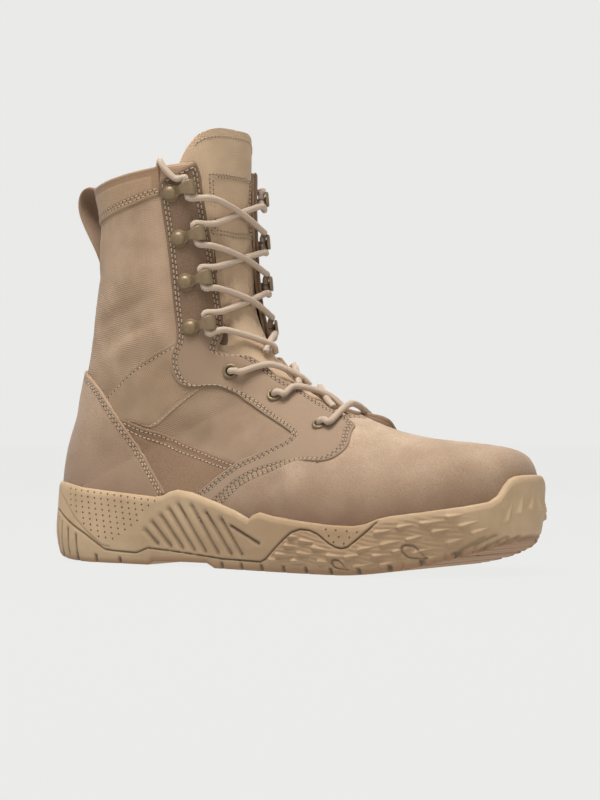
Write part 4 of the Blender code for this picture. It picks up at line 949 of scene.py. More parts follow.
# x, slant across the boot
TREAD_GROOVES = [
    (22.4, 0.0), (36.6, 0.0), (50.8, 0.0), (68.5, 0.0), (149.0, 8.0), (164.0, 8.0), (179.0, 8.0),
    (194.0, 6.0),
    (209.0, 5.0), (224.0, 3.0), (239.0, 0.0), (255.0, 0.0), (270.0, 0.0), (285.0, 0.0)]
TREAD_WIDTH, TREAD_DEPTH = 3.2, 3.0
TOE_SPRING_START, TOE_SPRING, TOE_SPRING_POWER = 222.0, 18.0, 2.0
BUMPER, BUMPER_START, BUMPER_RUN = 1.6, 287.0, 10.0
EDGE_SHARE = np.array([(0.0, 3.4), (0.03, 2.5), (0.14, 1.3), (0.28, 0.5), (0.42, 0.0), (1.0, 0.0)])


# Height and length of the bevel under the heel
HEEL_BEVEL, HEEL_BEVEL_RUN = 4.2, 46.0


def tread_height(x):
    """Height of the sole's lower face: a rise from the toe spring on, and the bevel of the heel."""
    past = np.maximum(x - TOE_SPRING_START, 0.0) / (SOLE_LENGTH - TOE_SPRING_START)
    heel_bevel = HEEL_BEVEL * (np.maximum(HEEL_BEVEL_RUN - x, 0.0) / HEEL_BEVEL_RUN) ** 1.5
    return np.interp(x, *ARCH_RISE.T) + TOE_SPRING * past ** TOE_SPRING_POWER + heel_bevel


def sole_plan(t, side, inset):
    """The sole's outline: t is 0 to 1 round the heel, 1 to 2 along the side, 2 to 3 round the toe."""
    radius, tip = HEEL_RADIUS - 0.6 * inset, SOLE_LENGTH - inset
    round_heel = inset + radius * (1.0 - np.cos(np.clip(t, 0, 1) * math.pi / 2))
    along = inset + radius + (TOE_START - inset - radius) * (t - 1.0)
    round_toe = TOE_START + (tip - TOE_START) * np.sin(np.clip(t - 2.0, 0, 1)
                                                       * math.pi / 2) ** (2.0 / TOE_POWER)
    x = np.where(t < 1.0, round_heel, np.where(t < 2.0, along, round_toe))
    out = outline_at(x)
    return np.stack([x, out[..., 0] + side * (out[..., 1] - inset) * rounding(x, inset, radius, tip)], -1)


def near_line(x, z, x0, z0, x1, z1):
    """Distance from a straight stroke seen from the side."""
    run = np.array([x1 - x0, z1 - z0])
    t = np.clip(((x - x0) * run[0] + (z - z0) * run[1]) / (run @ run), 0.0, 1.0)
    return np.hypot(x - x0 - t * run[0], z - z0 - t * run[1])


def pressed(distance, width, depth):
    """A groove with steep sides and a flat floor."""
    return depth * (1.0 - ramp(distance, width * 0.5 - 0.35, width * 0.5 + 0.45))


SECOND_GROOVE = [(14.0, 42.0), (25.7, 34.4), (34.0, 27.0), (45.1, 17.9), (56.0, 10.4), (62.0, 9.4)]
# Fins that stand out of the forefoot's side: blunt end x, z, pointed end x, z
FINS = [
    (249.2, 22.5, 257.0, 24.2), (260.4, 25.5, 267.0, 27.0), (271.4, 27.5, 280.0, 29.0),
    (282.4, 31.0, 289.0, 32.4),
    (276.1, 23.1, 283.0, 24.9), (252.2, 16.5, 260.0, 18.3), (264.7, 19.2, 271.0, 21.2),
    (240.5, 13.7, 248.0, 15.5),
    (232.8, 9.7, 240.6, 10.9), (247.9, 10.4, 255.0, 11.6), (287.6, 26.3, 294.0, 28.6),
    (292.3, 22.7, 298.0, 25.0),
    (281.9, 17.6, 289.0, 20.2), (251.2, 6.2, 259.6, 8.0), (237.7, 4.6, 246.5, 6.6),
    (267.0, 12.4, 275.0, 14.8),
    (204.7, 17.4, 213.0, 17.0), (203.5, 10.9, 212.9, 10.5), (212.9, 14.2, 220.6, 13.1),
    (188.0, 9.8, 198.0, 9.4),
    (194.5, 14.6, 202.5, 14.2), (198.5, 6.6, 208.0, 6.4), (222.0, 10.2, 229.0, 9.8),
    (216.0, 7.0, 223.0, 6.6),
    (182.5, 6.6, 191.0, 6.2), (197.0, 19.4, 203.0, 19.6), (258.0, 13.0, 264.5, 14.6),
    (270.5, 8.2, 277.0, 11.0)]
# Raked slots under the toe and upright ones in its bumper
RAKED = [
    (283.0, 12.0, 296.5, 20.6), (286.0, 13.2, 300.4, 21.7), (288.6, 10.4, 303.7, 20.7),
    (292.1, 10.1, 306.6, 20.8),
    (295.9, 11.0, 308.4, 20.8), (299.5, 12.9, 309.5, 21.6), (302.9, 14.4, 309.9, 22.5)]
TOE_TURN = math.radians(35.0)
TOE_MIDDLE = 8.0
# The same round the toe, where places count along a line square to the outer front: blunt end, pointed end
UPRIGHT = [(237.8, 28.7, 240.2, 36.8), (244.3, 32.9, 246.8, 41.3), (250.8, 34.8, 252.9, 41.7)]
# Notches between the lugs along the toe's lower edge
TOE_LUGS = (262.0, 272.5, 281.5, 288.0, 293.6, 298.4, 302.4, 305.6, 308.2)
# Loops of a drop's outline: middle x, z, length, height, and the turn of its tail
DROPS = [(228.6, 5.3, 5.0, 2.3, -0.45), (267.4, 12.4, 6.2, 3.4, -0.5)]
HEEL_SLITS = (13.0, 17.0, 22.4, 29.4, 36.6)


def fin(x, z, x0, z0, x1, z1, width=1.55, height=1.9):
    """A ridge that rises towards its blunt end: height * (1 - t) across a bell.

    t runs from the blunt end to the pointed one."""
    run = np.array([x1 - x0, z1 - z0])
    t = ((x - x0) * run[0] + (z - z0) * run[1]) / (run @ run)
    away = ((x - x0) * -run[1] + (z - z0) * run[0]) / np.linalg.norm(run)
    t = (t + 0.08) / 1.3
    body = np.clip(1.0 - t, 0.0, 1.0) * ramp(t, -0.08, 0.04)
    return height * body * np.clip(1.0 - (np.abs(away) / (width * np.clip(1.15 - t, 0.2, 1.0))), 0.0, 1.0)


def relief(x, y, z):
    """How deep the sole's side is pressed in at a place, in millimetres, and less where a fin stands out, and
    how much painted shade darkens the grooves there.
    """
    part = np.interp(x, *PARTING.T)
    slope = np.gradient(PARTING[:, 1], PARTING[:, 0])
    lean = np.sqrt(1.0 + np.interp(x, PARTING[:, 0], slope) ** 2)
    deep = pressed(np.abs(z - part) / lean, 0.7, 1.2) * (1.0 - ramp(x, 251.0, 254.0))
    for x0, z0, x1, z1 in RIB_GROOVES:
        away = near_line(x, z, x0, z0, x1, z1)
        deep = np.maximum(deep, 1.7 * np.exp(-(away / 1.5) ** 2))
    for a, b in zip(SECOND_GROOVE, SECOND_GROOVE[1:]):
        deep = np.maximum(deep, pressed(near_line(x, z, *a, *b), 0.3, 0.7))
    deep = np.maximum(deep, 1.3 * np.exp(-(near_line(x, z, 155.2, 23.8, 174.8, 15.1) / 0.9) ** 2))
    for cx, cz, long, high, turn in DROPS:
        along = (x - cx) * math.cos(turn) + (z - cz) * math.sin(turn)
        aside = -(x - cx) * math.sin(turn) + (z - cz) * math.cos(turn)
        narrow = high * np.clip(1.0 - (along + long * 0.3) / (long * 1.35), 0.12, 1.0)
        ring = np.abs(np.hypot(along / long, aside / narrow) - 1.0) * high
        deep = np.maximum(deep, pressed(ring, 0.5, 1.0))
    for groove, slant in TREAD_GROOVES:
        at = groove + np.sign(y) * slant / 2.0
        top = tread_height(at) + np.where(at < 60.0, 4.0, 3.0)
        deep = np.maximum(deep, pressed(np.abs(x - at), 2.0, 1.4) * (1.0 - ramp(z, top, top + 1.5)))
    for at in HEEL_SLITS:
        top = np.interp(at, *PARTING.T) - 2.5
        slit = pressed(np.abs(x - at), 1.3, 1.1) * (1.0 - ramp(z, top - 2.0, top)) * ramp(z, 2.0, 5.0)
        deep = np.maximum(deep, slit)
    # The second value is the grooves' painted shade: weaker in the rib grooves, some in the toe's raked
    # flutes.
    groove = deep.copy()
    for stroke in RIB_GROOVES:
        groove = np.where(near_line(x, z, *stroke) < 3.0, groove * 0.35, groove)
    for stroke in RAKED:
        flute = 1.0 * np.exp(-(near_line(x, z, *stroke) / 0.75) ** 2)
        deep, groove = np.maximum(deep, flute), np.maximum(groove, 0.4 * flute)
    round_toe = x * math.cos(TOE_TURN) - np.abs(y - TOE_MIDDLE) * math.sin(TOE_TURN)
    for stroke in UPRIGHT:
        deep = deep - fin(round_toe, z, *stroke) * ramp(x, 296.0, 300.0)
    below = ramp(part - z, 0.8, 1.6) * ramp(x, 176.0, 182.0) + ramp(x, 240.0, 248.0)
    for stroke in FINS:
        deep = deep - fin(x, z, *stroke) * np.clip(below, 0.0, 1.0)
    ripple = 0.12 * np.sin(z * 2.6 + x * 0.35 + 1.5 * np.sin(x * 0.21)) * np.clip(below, 0.0, 1.0)
    return deep + ripple * ramp(x, 180.0, 190.0) * (1.0 - ramp(x, 286.0, 294.0)), groove


HALF_STATIONS = 540
BOTTOM_COLUMNS, LID_COLUMNS = 26, 4
t_fine = np.linspace(0.0, 3.0, 6000)
trip = []
for side in (-1, 1):
    run = sole_plan(t_fine, side, 0.0)
    gone = np.concatenate([[0.0], np.cumsum(np.linalg.norm(np.diff(run, axis=0), axis=1))])
    trip.append(np.interp(np.linspace(0.0, gone[-1], HALF_STATIONS), gone, t_fine))
t_all = np.concatenate([trip[0], trip[1][::-1][1:-1]])
side_all = np.concatenate([np.full(HALF_STATIONS, -1.0), np.full(HALF_STATIONS - 2, 1.0)])
outer_line = sole_plan(t_all, side_all, 0.0)
inward = sole_plan(t_all, side_all, 12.0) - outer_line
inward /= np.linalg.norm(inward, axis=1)[:, None]

# The last, swollen to the panels' outer side, is what the lip leans on.
last_u = np.concatenate([np.linspace(4.0, 9.0, 40)[:-1], np.linspace(9.0, 19.98, 120)])
last_g = np.linspace(-2.0, 2.0, 161)
swollen = lifted(last_u[:, None], last_g[None], np.full((len(last_u), len(last_g)), 1.7))
last_tree = BVHTree.FromPolygons([Vector(p) for p in swollen.reshape(-1, 3)],
                                 quads(*swollen.shape[:2]).tolist())


def reach(height):
    """Where a level line from outside meets the swollen last, for each station."""
    found = []
    for (x, y), (dx, dy), z in zip(outer_line, inward, height):
        hit = last_tree.ray_cast(Vector((x - 90.0 * dx, y - 90.0 * dy, z)), Vector((dx, dy, 0.0)))[0]
        found.append((hit.x, hit.y) if hit else (x + 4.0 * dx, y + 4.0 * dy))
    found = np.array(found)
    return np.median([np.roll(found, k, axis=0) for k in (-2, -1, 0, 1, 2)], axis=0)


lip_z = np.interp(outer_line[:, 0], *SOLE_TOP.T)
low_z = tread_height(outer_line[:, 0])
for lug in TOE_LUGS:
    low_z = low_z + 1.5 * np.clip(1.0 - np.abs(outer_line[:, 0] - lug) / (0.9 if lug > 297.0 else 1.3),
                                  0.0, 1.0)
swell = BUMPER * np.clip((outer_line[:, 0] - BUMPER_START) / BUMPER_RUN, 0.0, 1.0)
lip_at = reach(lip_z) - inward * (0.9 + swell)[:, None]
step_at = reach(lip_z - 3.0) - inward * (2.1 + swell)[:, None]
root_at = reach(lip_z) + inward * 2.0
shares = np.concatenate([np.linspace(0.0, 0.9, 62), [0.93, 0.96, 0.98, 0.992, 1.0]])
rows = []
for share in shares:
    z = low_z + share * (lip_z - low_z)
    inset = np.interp(share, *EDGE_SHARE.T)
    flat = outer_line + inward * inset[..., None] if np.ndim(inset) else outer_line + inward * inset
    down = np.clip((lip_z - z) / 3.0, 0.0, 1.0)[:, None]
    near_lip = lip_at + (step_at - lip_at) * down ** 0.6
    height = (lip_z - low_z)
    blend = np.clip((z - (low_z + 0.30 * height)) / np.maximum(0.70 * height - 3.0, 0.5), 0.0, 1.0)[:, None]
    rows.append(np.concatenate([flat + (near_lip - flat) * blend, z[:, None]], axis=1))
wall = np.array(rows)
top_round = np.clip((1.0 - shares) / 0.03, 0.0, 1.0)
deep, groove_shade_depth = relief(wall[..., 0], wall[..., 1], wall[..., 2])
deep *= (1.0 - ramp(shares, 0.93, 0.97))[:, None]
groove_shade_depth *= (1.0 - ramp(shares, 0.93, 0.97))[:, None]
wall[..., :2] += inward[None] * deep[..., None]
wall[..., :2] += inward[None] * (0.9 * (1.0 - np.sqrt(np.maximum(1.0 - (1.0 - top_round) ** 2,
                                                                 0.0))))[:, None, None]
feather_in = sole_plan(t_all, side_all, FEATHER_INSET + 1.0)
inner = np.stack([np.concatenate([root_at, (lip_z - 0.2)[:, None]], 1),
                  np.concatenate([feather_in, (feather_height(feather_in[:, 0]) + 0.4)[:, None]], 1)])
wall = np.concatenate([wall, inner])
# From here deep holds the grooves' painted shade, which the sole carries as its groove attribute.
deep = np.concatenate([groove_shade_depth, np.zeros((2, len(t_all)))])
levels_z = wall[..., 2]
tread_part = 1.0 - ramp(levels_z - low_z[None], 1.0, 4.0)

count = len(t_all)
closed = np.concatenate([wall, wall[:, :1]], axis=1)
n, m = closed.shape[:2]
half = HALF_STATIONS
left = np.arange(half)
right = (count - left) % count


def across(ring, columns):
    """A grid from the outer side of a ring to its inner side."""
    share = np.linspace(0.0, 1.0, columns)
    return ring[left][:, None] + share[None, :, None] * (ring[right] - ring[left])[:, None]


bottom = across(wall[0], BOTTOM_COLUMNS)
share = np.linspace(0.0, 1.0, BOTTOM_COLUMNS)
for groove, slant in TREAD_GROOVES:
    at = groove - slant / 2.0 + slant * (bottom[..., 1] + 45.0) / 90.0
    bottom[..., 2] += pressed(np.abs(bottom[..., 0] - at), TREAD_WIDTH, TREAD_DEPTH) * ramp(share, 0.0,
                                                                                            0.02)[None] \
        * ramp(1.0 - share, 0.0, 0.02)[None]
lid = across(wall[-1], LID_COLUMNS)
parts = [closed.reshape(-1, 3), bottom.reshape(-1, 3), lid.reshape(-1, 3)]
faces = [quads(n, m), quads(half, BOTTOM_COLUMNS, n * m)[:, ::-1],
         quads(half, LID_COLUMNS, n * m + half * BOTTOM_COLUMNS)]
# The groove attribute is painted shade for the grooves.
groove_shade_value = np.concatenate([np.clip(np.concatenate([deep, deep[:, :1]], 1), 0, 1).ravel(),
                               np.zeros(half * (BOTTOM_COLUMNS + LID_COLUMNS))])
tread_value = np.concatenate([np.concatenate([tread_part, tread_part[:, :1]], 1).ravel(),
                              np.ones(half * BOTTOM_COLUMNS),
                              np.zeros(half * LID_COLUMNS)])
sole = add_piece("sole_rubber", np.concatenate(parts), np.concatenate(faces), None,
                 {"groove": groove_shade_value, "tread": tread_value}, (SOLE_RUBBER,))
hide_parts("midsole", "outsole")
print("sole_rubber:", len(sole.data.polygons), "faces")

# %% [markdown]
# ## Thread
# A stitch is a small rounded bar that lies on the leather between two needle holes, each hole a dark mark of
# painted shade. One bar and one hole are made once, and whole rows of them are set along the seams as one
# mesh.

# %% Stitches
def lengthwise(path):
    """Distance along a path to each of its points: the running sum of the steps."""
    step = np.linalg.norm(np.diff(path, axis=0), axis=1)
    return np.concatenate([[0.0], np.cumsum(step)])


def bar(length, radius, sides=6):
    """A bar with rounded ends along x: rings of radius r * sqrt(1 - t^4) at t from -1 to 1."""
    t = np.array([-1.0, -0.86, -0.45, 0.45, 0.86, 1.0])
    r = radius * np.sqrt(np.maximum(1.0 - t ** 4, 0.02))
    a = np.arange(sides) * 2 * math.pi / sides
    points = np.stack([np.broadcast_to(t[:, None] * length / 2, (6, sides)), r[:, None] * np.cos(a),
                       0.8 * r[:, None] * np.sin(a)], -1).reshape(-1, 3)
    k = np.arange(5)[:, None] * sides + np.arange(sides)
    right = np.arange(5)[:, None] * sides + (np.arange(sides) + 1) % sides
    faces = np.stack([k, right, right + sides, k + sides], -1).reshape(-1, 4)
    cap = np.array([[0, 1, 2, 3], [0, 3, 4, 5]])
    return points, np.concatenate([faces, cap[:, ::-1], cap + 5 * sides])


def disc(radius, sides=6):
    """A flat hole mark, a dark disc of painted shade where a hole lies: a ring round a middle, a hair above
    the leather.
    """
    a = np.arange(sides) * 2 * math.pi / sides
    ring = np.stack([radius * np.cos(a), radius * np.sin(a), np.full(sides, 0.05)], -1)
    low = ring * (1.0, 1.0, 0.0) + (0.0, 0.0, -0.3)
    points = np.concatenate([ring, low])
    k = np.arange(sides)
    right = (k + 1) % sides
    wall = np.stack([k, right, right + sides, k + sides], -1)
    top = np.array([[0, 1, 2, 3], [0, 3, 4, 5]]) if sides == 6 else np.array([[0, 1, 2, 3]])
    return points, np.concatenate([wall[:, ::-1], top, (top + sides)[:, ::-1]])


def copies(points, faces, middles, forward, out):
    """The same small shape at many places, each turned so that x runs forward and z outwards."""
    forward = forward / np.linalg.norm(forward, axis=1)[:, None]
    out = out - forward * np.sum(out * forward, axis=1)[:, None]
    out /= np.linalg.norm(out, axis=1)[:, None]
    side = np.cross(out, forward)
    frame_of = np.stack([forward, side, out], axis=1)
    placed = middles[:, None] + points[None] @ frame_of
    all_faces = faces[None] + (np.arange(len(middles)) * len(points))[:, None, None]
    return placed.reshape(-1, 3), all_faces.reshape(-1, 4)


threads = [[], [], []]
holes = [[], [], []]


def sew(places, height, pitch=3.0, start=0.0, sides=(1,)):
    """Stitches along a row of places on the last, at a height above it."""
    for side in sides:
        at = np.array(places, float) * (1.0, side)
        path = lifted(at[:, 0], at[:, 1], height)
        out = outwards_at(at[:, 0], at[:, 1])
        run = lengthwise(path)
        middles = np.arange(start + pitch / 2, run[-1] - pitch / 2, pitch)
        if len(middles) < 2:
            continue
        def along_path(values, where):
            """Values of the path at the distances where."""
            return np.stack([np.interp(where, run, values[:, i]) for i in range(3)], -1)
        forward = along_path(path, middles + 0.6) - along_path(path, middles - 0.6)
        for kept, value in zip(threads, (along_path(path, middles), forward, along_path(out, middles))):
            kept.append(value)
        gaps = middles + pitch / 2
        forward = along_path(path, gaps + 0.6) - along_path(path, gaps - 0.6)
        for kept, value in zip(holes, (along_path(path, gaps), forward, along_path(out, gaps))):
            kept.append(value)


def sew_edge(grids, column, start=0.0, first_row=0, last_row=None, pitch=3.0, rise=0.1):
    """Stitches along one column of each side's grid."""
    for at, height, distance in grids:
        sew(at[first_row:last_row, column], height[first_row:last_row, column] + rise, pitch, start)


def sew_end(grids, row_distance, first_column=0, last_column=None, start=0.0, rise=0.1):
    """Stitches along the row that lies nearest to a distance from a grid's first end."""
    for at, height, distance in grids:
        down = lengths(lifted(at[..., 0], at[..., 1], height), 0)
        row = int(np.argmin(np.abs(down[:, at.shape[1] // 2] - row_distance)))
        sew(at[row, first_column:last_column], height[row, first_column:last_column] + rise, 3.0, start)


for column, start in ((ROW_ONE, 0.0), (ROW_TWO, 1.5)):
    for column_at in (column, -1 - column):
        sew_edge(facing, column_at, start, first_row=2)
        sew_edge(cuff, column_at, start) if column_at < 0 else None
    sew_edge(vamp, column, start, first_row=8, last_row=-8)
    sew_edge(counter, column, start)
sew_edge(side_panel, ROW_ONE, 0.0)
sew_edge(side_panel, ROW_TWO + 1, 1.5)
sew_edge(side_patch, ROW_ONE, 0.0)
sew_end(facing, 2.2, 6, -6)
diamond = from_side([(85.0, 75.0), (89.0, 77.8), (98.0, 83.4), (108.5, 90.8), (120.0, 99.0)])
sew(spline(np.arange(5.0), diamond)(np.linspace(0.0, 4.0, 40)), 0.25, sides=(1, -1))

# Binding seam along the tongue's top, and the seam of the plain patch on it: section and distance from the
# middle
binding = [(0.52, -28.0), (0.40, -25.5), (0.31, -21.5), (0.26, -13.0), (0.25, 0.0), (0.26, 13.0),
           (0.31, 21.5),
           (0.40, 25.5), (0.52, 28.0)]
patch = [(1.36, -20.0), (1.36, 20.0), (2.8, 19.0), (2.86, 0.0), (2.8, -19.0), (1.36, -20.0)]


def on_tongue(table):
    """Points given on the front of the tongue as places on the last, with the sign of y as the side."""
    return np.concatenate([from_front([(u, abs(y))], -1.0 if y < 0 else 1.0) for u, y in table])


def straight_run(points, count=40):
    """Places evenly along straight lines through points."""
    points = np.array(points)
    return np.stack([np.interp(np.linspace(0, len(points) - 1, count), np.arange(len(points)), points[:, i])
                     for i in range(2)], -1)


TONGUE_TOP = -WALL - GAP + 0.12
sew(spline(np.arange(9.0), on_tongue(binding))(np.linspace(0, 8, 60)), TONGUE_TOP, 2.4)
for inset in (0.0, 0.08):
    rim = on_tongue([(u + inset * np.sign(2.1 - u), y * (1.0 - inset * 1.4)) for u, y in patch])
    sew(straight_run(rim, 120), TONGUE_TOP + 0.25, 2.4, inset * 12)

bar_points, bar_faces = bar(2.25, 0.36)
middles, forward, out = (np.concatenate(v) for v in threads)
points, faces = copies(bar_points, bar_faces, middles, forward, out)
add_piece("stitches", points, faces, None, None, (THREAD,), merge=False)
disc_points, disc_faces = disc(0.42)
middles, forward, out = (np.concatenate(v) for v in holes)

# Pinholes in the sole, dark discs of painted shade: on the heel between the lip, the second groove and a
# slanting line, and on the waist
x, z = np.meshgrid(30.5 + 5.2 * np.arange(14), np.arange(12) * -3.15)
z = z + 42.0 - 0.085 * (x - 30.5)
x = x + (42.0 - z) * 0.12
second = np.array(SECOND_GROOVE)
keep = (z > np.interp(x, second[:, 0], second[:, 1]) + 2.6) & (x < 64.0 + (z - 9.5) * 1.36)
pins = np.concatenate([np.stack([x[keep], z[keep]], 1), [
    (220.5, 23.8), (226.5, 23.6), (233.0, 23.2), (238.8, 22.8), (222.5, 20.6), (228.5, 20.2), (234.6, 20.0),
    (225.5, 17.4), (231.5, 16.8)]])
sole_tree = BVHTree.FromPolygons([v.co.copy() for v in sole.data.vertices],
                                 [list(p.vertices) for p in sole.data.polygons])
found = []
for side in (-1.0, 1.0):
    for px, pz in pins:
        spot = Vector(to_row(np.array([px, side * 90.0, pz])))
        point, normal = sole_tree.ray_cast(spot, Vector((0.0, -side, 0.0)))[:2]
        if point is not None and abs(normal.y) > 0.3:
            found.append((*point, *normal))
found = np.array(found)
pin_middles = found[:, :3] / MM + np.array([MIDDLE_X, MIDDLE_Y, 0.0])
pin_points, pin_faces = copies(*disc(0.62), pin_middles, np.broadcast_to([1.0, 0.0, 0.0],
                                                                         pin_middles.shape), found[:, 3:])
add_piece("pinholes", pin_points, pin_faces, None, None, (PINHOLE,), merge=False)
# Dark discs of painted shade where the needle holes lie.
points, faces = copies(disc_points, disc_faces, middles, forward, out)
add_piece("needle_holes", points, faces, None, None, (NEEDLE,), merge=False)
print("needle holes:", len(middles))

# %% [markdown]
# ## Hooks, eyelets and lace
# Each hook is a riveted dome with a bent arm, each eyelet a rolled ring. The lace runs under the arms and
# through the rings, in two strands that cross on the tongue at every level.

# %% Fittings
HOOKS = [(104.8, 207.5), (108.8, 182.1), (112.0, 157.7), (114.8, 132.3)]
EYELETS = [(135.8, 107.9), (161.7, 93.9), (196.5, 77.0)]
HOOK_TILT = math.radians(12.0)
SEAT = GAP + PANEL + GAP


def seat(x, z, side):
    """Where a fitting stands on the facing: point, and axes forward, up and out."""
    u, g = from_side([(x, z)], side)[0]
    out = outwards_at(u, g)
    point = lifted(u, g, SEAT - 0.1 + over_vamp(np.array([x, 0.0, z])))
    forward = np.array([1.0, 0.0, 0.0]) - out * out[0]
    forward /= np.linalg.norm(forward)
    up = np.cross(out, forward) * -side
    return point, forward, up, out


def turned(axes, angle):
    """Axes turned about the way out: forward and up swing by the angle."""
    point, forward, up, out = axes
    c, s = math.cos(angle), math.sin(angle)
    return point, forward * c + up * s, up * c - forward * s, out


def at(axes, x, y, z):
    """A point in axes: x forward, y up and z outwards from their origin."""
    point, forward, up, out = axes
    return point + forward * x + up * y + out * z


def in_axes(axes, points):
    """Points given forward, up and out, put where the fitting stands."""
    point, forward, up, out = axes
    return point + points[..., :1] * forward + points[..., 1:2] * up + points[..., 2:] * out


def lathe(profile, sides=28):
    """A profile of radius and height turned about its axis: x = r cos a, y = r sin a."""
    a = np.linspace(0.0, 2 * math.pi, sides + 1)
    profile = np.array(profile)
    return np.stack([profile[:, :1] * np.cos(a), profile[:, :1] * np.sin(a),
                     np.broadcast_to(profile[:, 1:], (len(profile), sides + 1))], -1)


def rounded_plate(line, thickness, roll=0.4, sides=16):
    """A strip swept along forward and height, with half widths: each ring is a squared-off superellipse."""
    line = np.array(line)
    at_line = spline(np.arange(len(line), dtype=float), line)(np.linspace(0, len(line) - 1, 30))
    run = np.gradient(at_line[:, :2], axis=0)
    run /= np.linalg.norm(run, axis=1)[:, None]
    a = np.linspace(0.0, 2 * math.pi, sides + 1)
    c, s = np.cos(a), np.sin(a)
    wide = np.sign(c) * np.abs(c) ** 0.35
    thick = np.sign(s) * np.abs(s) ** 0.6 * thickness / 2
    close = np.clip(np.minimum(np.arange(30), 29 - np.arange(30)) / 2.0, 0.0, 1.0)
    close = np.sqrt(1.0 - (1.0 - close) ** 2)
    x = at_line[:, :1] - run[:, 1:] * thick * close[:, None]
    z = at_line[:, 1:2] + run[:, :1] * thick * close[:, None]
    y = at_line[:, 2:3] * wide * (0.75 + 0.25 * close[:, None])
    return np.stack([x, y, z], -1)


DOME = [(0.0, -0.3), (4.3, -0.3), (4.3, 0.5), (4.1, 1.1), (3.6, 1.9), (2.8, 2.6), (1.7, 3.0), (0.6, 3.15),
        (0.0, 3.18)]
RIM = [(5.0, -0.3), (5.0, 0.2), (4.7, 0.55), (4.2, 0.6), (4.2, -0.3), (5.0, -0.3)]
ARM = [
    # forward, height, half width
    (0.5, 0.7, 3.6), (3.6, 1.2, 3.2), (5.4, 2.9, 2.6), (7.0, 5.0, 2.6), (9.4, 5.7, 3.4), (12.0, 5.5, 4.2),
    (14.2, 4.2, 4.2),
    (14.9, 2.6, 3.9)]
RING = [(2.5, -0.6), (4.3, -0.3), (4.45, 0.3), (4.2, 0.95), (3.6, 1.3), (3.0, 1.25), (2.55, 0.8),
        (2.45, 0.1), (2.5, -0.6)]
# The eyelet's hole is filled by a dark disc of painted shade.
HOLE = [(0.0, -0.3), (2.5, -0.3), (2.5, 0.06), (0.0, 0.06)]


def grids_piece(name, grids, looks, which=None, uvs=None):
    """Several grids of points as one mesh."""
    points, faces, kind, start = [], [], [], 0
    for i, g in enumerate(grids):
        points.append(g.reshape(-1, 3))
        f = facing_out(points[-1], quads(*g.shape[:2])) + start
        faces.append(f)
        kind.append(np.full(len(f), which[i] if which else 0))
        start += g.shape[0] * g.shape[1]
    uv = np.concatenate([u.reshape(-1, 2) for u in uvs]) if uvs else None
    return add_piece(name, np.concatenate(points), np.concatenate(faces), uv, None, looks,
                     np.concatenate(kind))


for side, word in ((-1.0, "lateral"), (1.0, "medial")):
    for i, (x, z) in enumerate(HOOKS):
        axes = turned(seat(x, z, side), HOOK_TILT)
        parts = [in_axes(axes, lathe(DOME)), in_axes(axes, lathe(RIM)),
                 in_axes(axes, rounded_plate(ARM, 1.15))]
        item = grids_piece("hook_%s_%d_metal" % (word, i + 1), parts, (METAL,))
        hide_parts("hook_%s_%d" % (word, i + 1))
    for i, (x, z) in enumerate(EYELETS):
        axes = seat(x, z, side)
        item = grids_piece("eyelet_%s_%d_metal" % (word, i + 1),
                           [in_axes(axes, lathe(RING)), in_axes(axes, lathe(HOLE))],
                           (EYELET_METAL, NEEDLE), (0, 1))
        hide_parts("eyelet_%s_%d" % (word, i + 1))
print("hooks:", 2 * len(HOOKS), "eyelets:", 2 * len(EYELETS))

# %% Lace
LACE_RADIUS = 1.8
HOOK_REACH = 9.6
HOOK_SECTION = (1.8, 2.86, 3.8, 4.87)
EYELET_SECTION = (6.35, 10.19, 13.0)
ON_HOOK, OVER_EDGE, ON_TONGUE = 2.6, 4.1, 0.6
OVER_CROSSING = (1.8, 1.0)
UNDER_ARM = [(1.0, 6.0, 0.8), (0.0, 3.2, 0.0), (-0.4, 0.4, 0.0)]
INTO_EYELET = [(7.0, 3.0), (4.0, 3.6), (1.3, 2.8), (0.2, 1.0), (0.0, -0.6)]
EDGE_AT_HOOK, EDGE_AT_EYELET, START_AT_EYELET = (0.25, 20.0), (0.3, 9.0), (0.5, 4.6)
OVER_COLLAR = [
    # section, girth, distance outwards, height above that
    (1.45, 0.57, 4.0, 0.0), (1.12, 0.65, 4.0, 0.0), (1.0, 0.68, 3.2, 1.8), (1.0, 0.70, -0.1, 2.8),
    (1.0, 0.72, -3.6, 1.6), (1.15, 0.76, -4.2, 0.0), (1.6, 0.82, -4.2, 0.0)]


def on_last(u, y, lift):
    """A point of the lace on the front of the last, lifted off it by lift."""
    side = -1.0 if y < 0 else 1.0
    (u, g), = from_front([(u, abs(y))], side)
    return lifted(u, g, lift)


def hook_end(i, side, below):
    """The lace's way round hook i, from below it or from above."""
    axes = turned(seat(*HOOKS[i], side), HOOK_TILT)
    turn = -1.0 if below else 1.0
    return [at(axes, HOOK_REACH + ahead, turn * aside, ON_HOOK + lift) for ahead, aside, lift in UNDER_ARM]


def eyelet_end(i, side):
    """The lace's way into eyelet i."""
    return [at(seat(*EYELETS[i], side), x, 0.0, z) for x, z in INTO_EYELET]


def strand(level, low, high, side):
    """One half of a crossing, from the low fitting on one side to the next one up opposite."""
    if level < len(EYELETS):
        start = [on_last(low - START_AT_EYELET[0], side * START_AT_EYELET[1], ON_TONGUE)]
    else:
        start = hook_end(6 - level, side, False)[::-1]
        start.append(on_last(low - EDGE_AT_HOOK[0], side * EDGE_AT_HOOK[1], OVER_EDGE))
    cross = on_last((low + high) / 2, 0.0, OVER_CROSSING[0 if level < len(EYELETS) else 1] + 0.9 * side)
    if level < len(EYELETS) - 1:
        end, edge = eyelet_end(1 - level, -side), EDGE_AT_EYELET
    else:
        end, edge = hook_end(5 - level, -side, True), EDGE_AT_HOOK
    return start + [cross, on_last(high + edge[0], -side * edge[1], OVER_EDGE)] + end


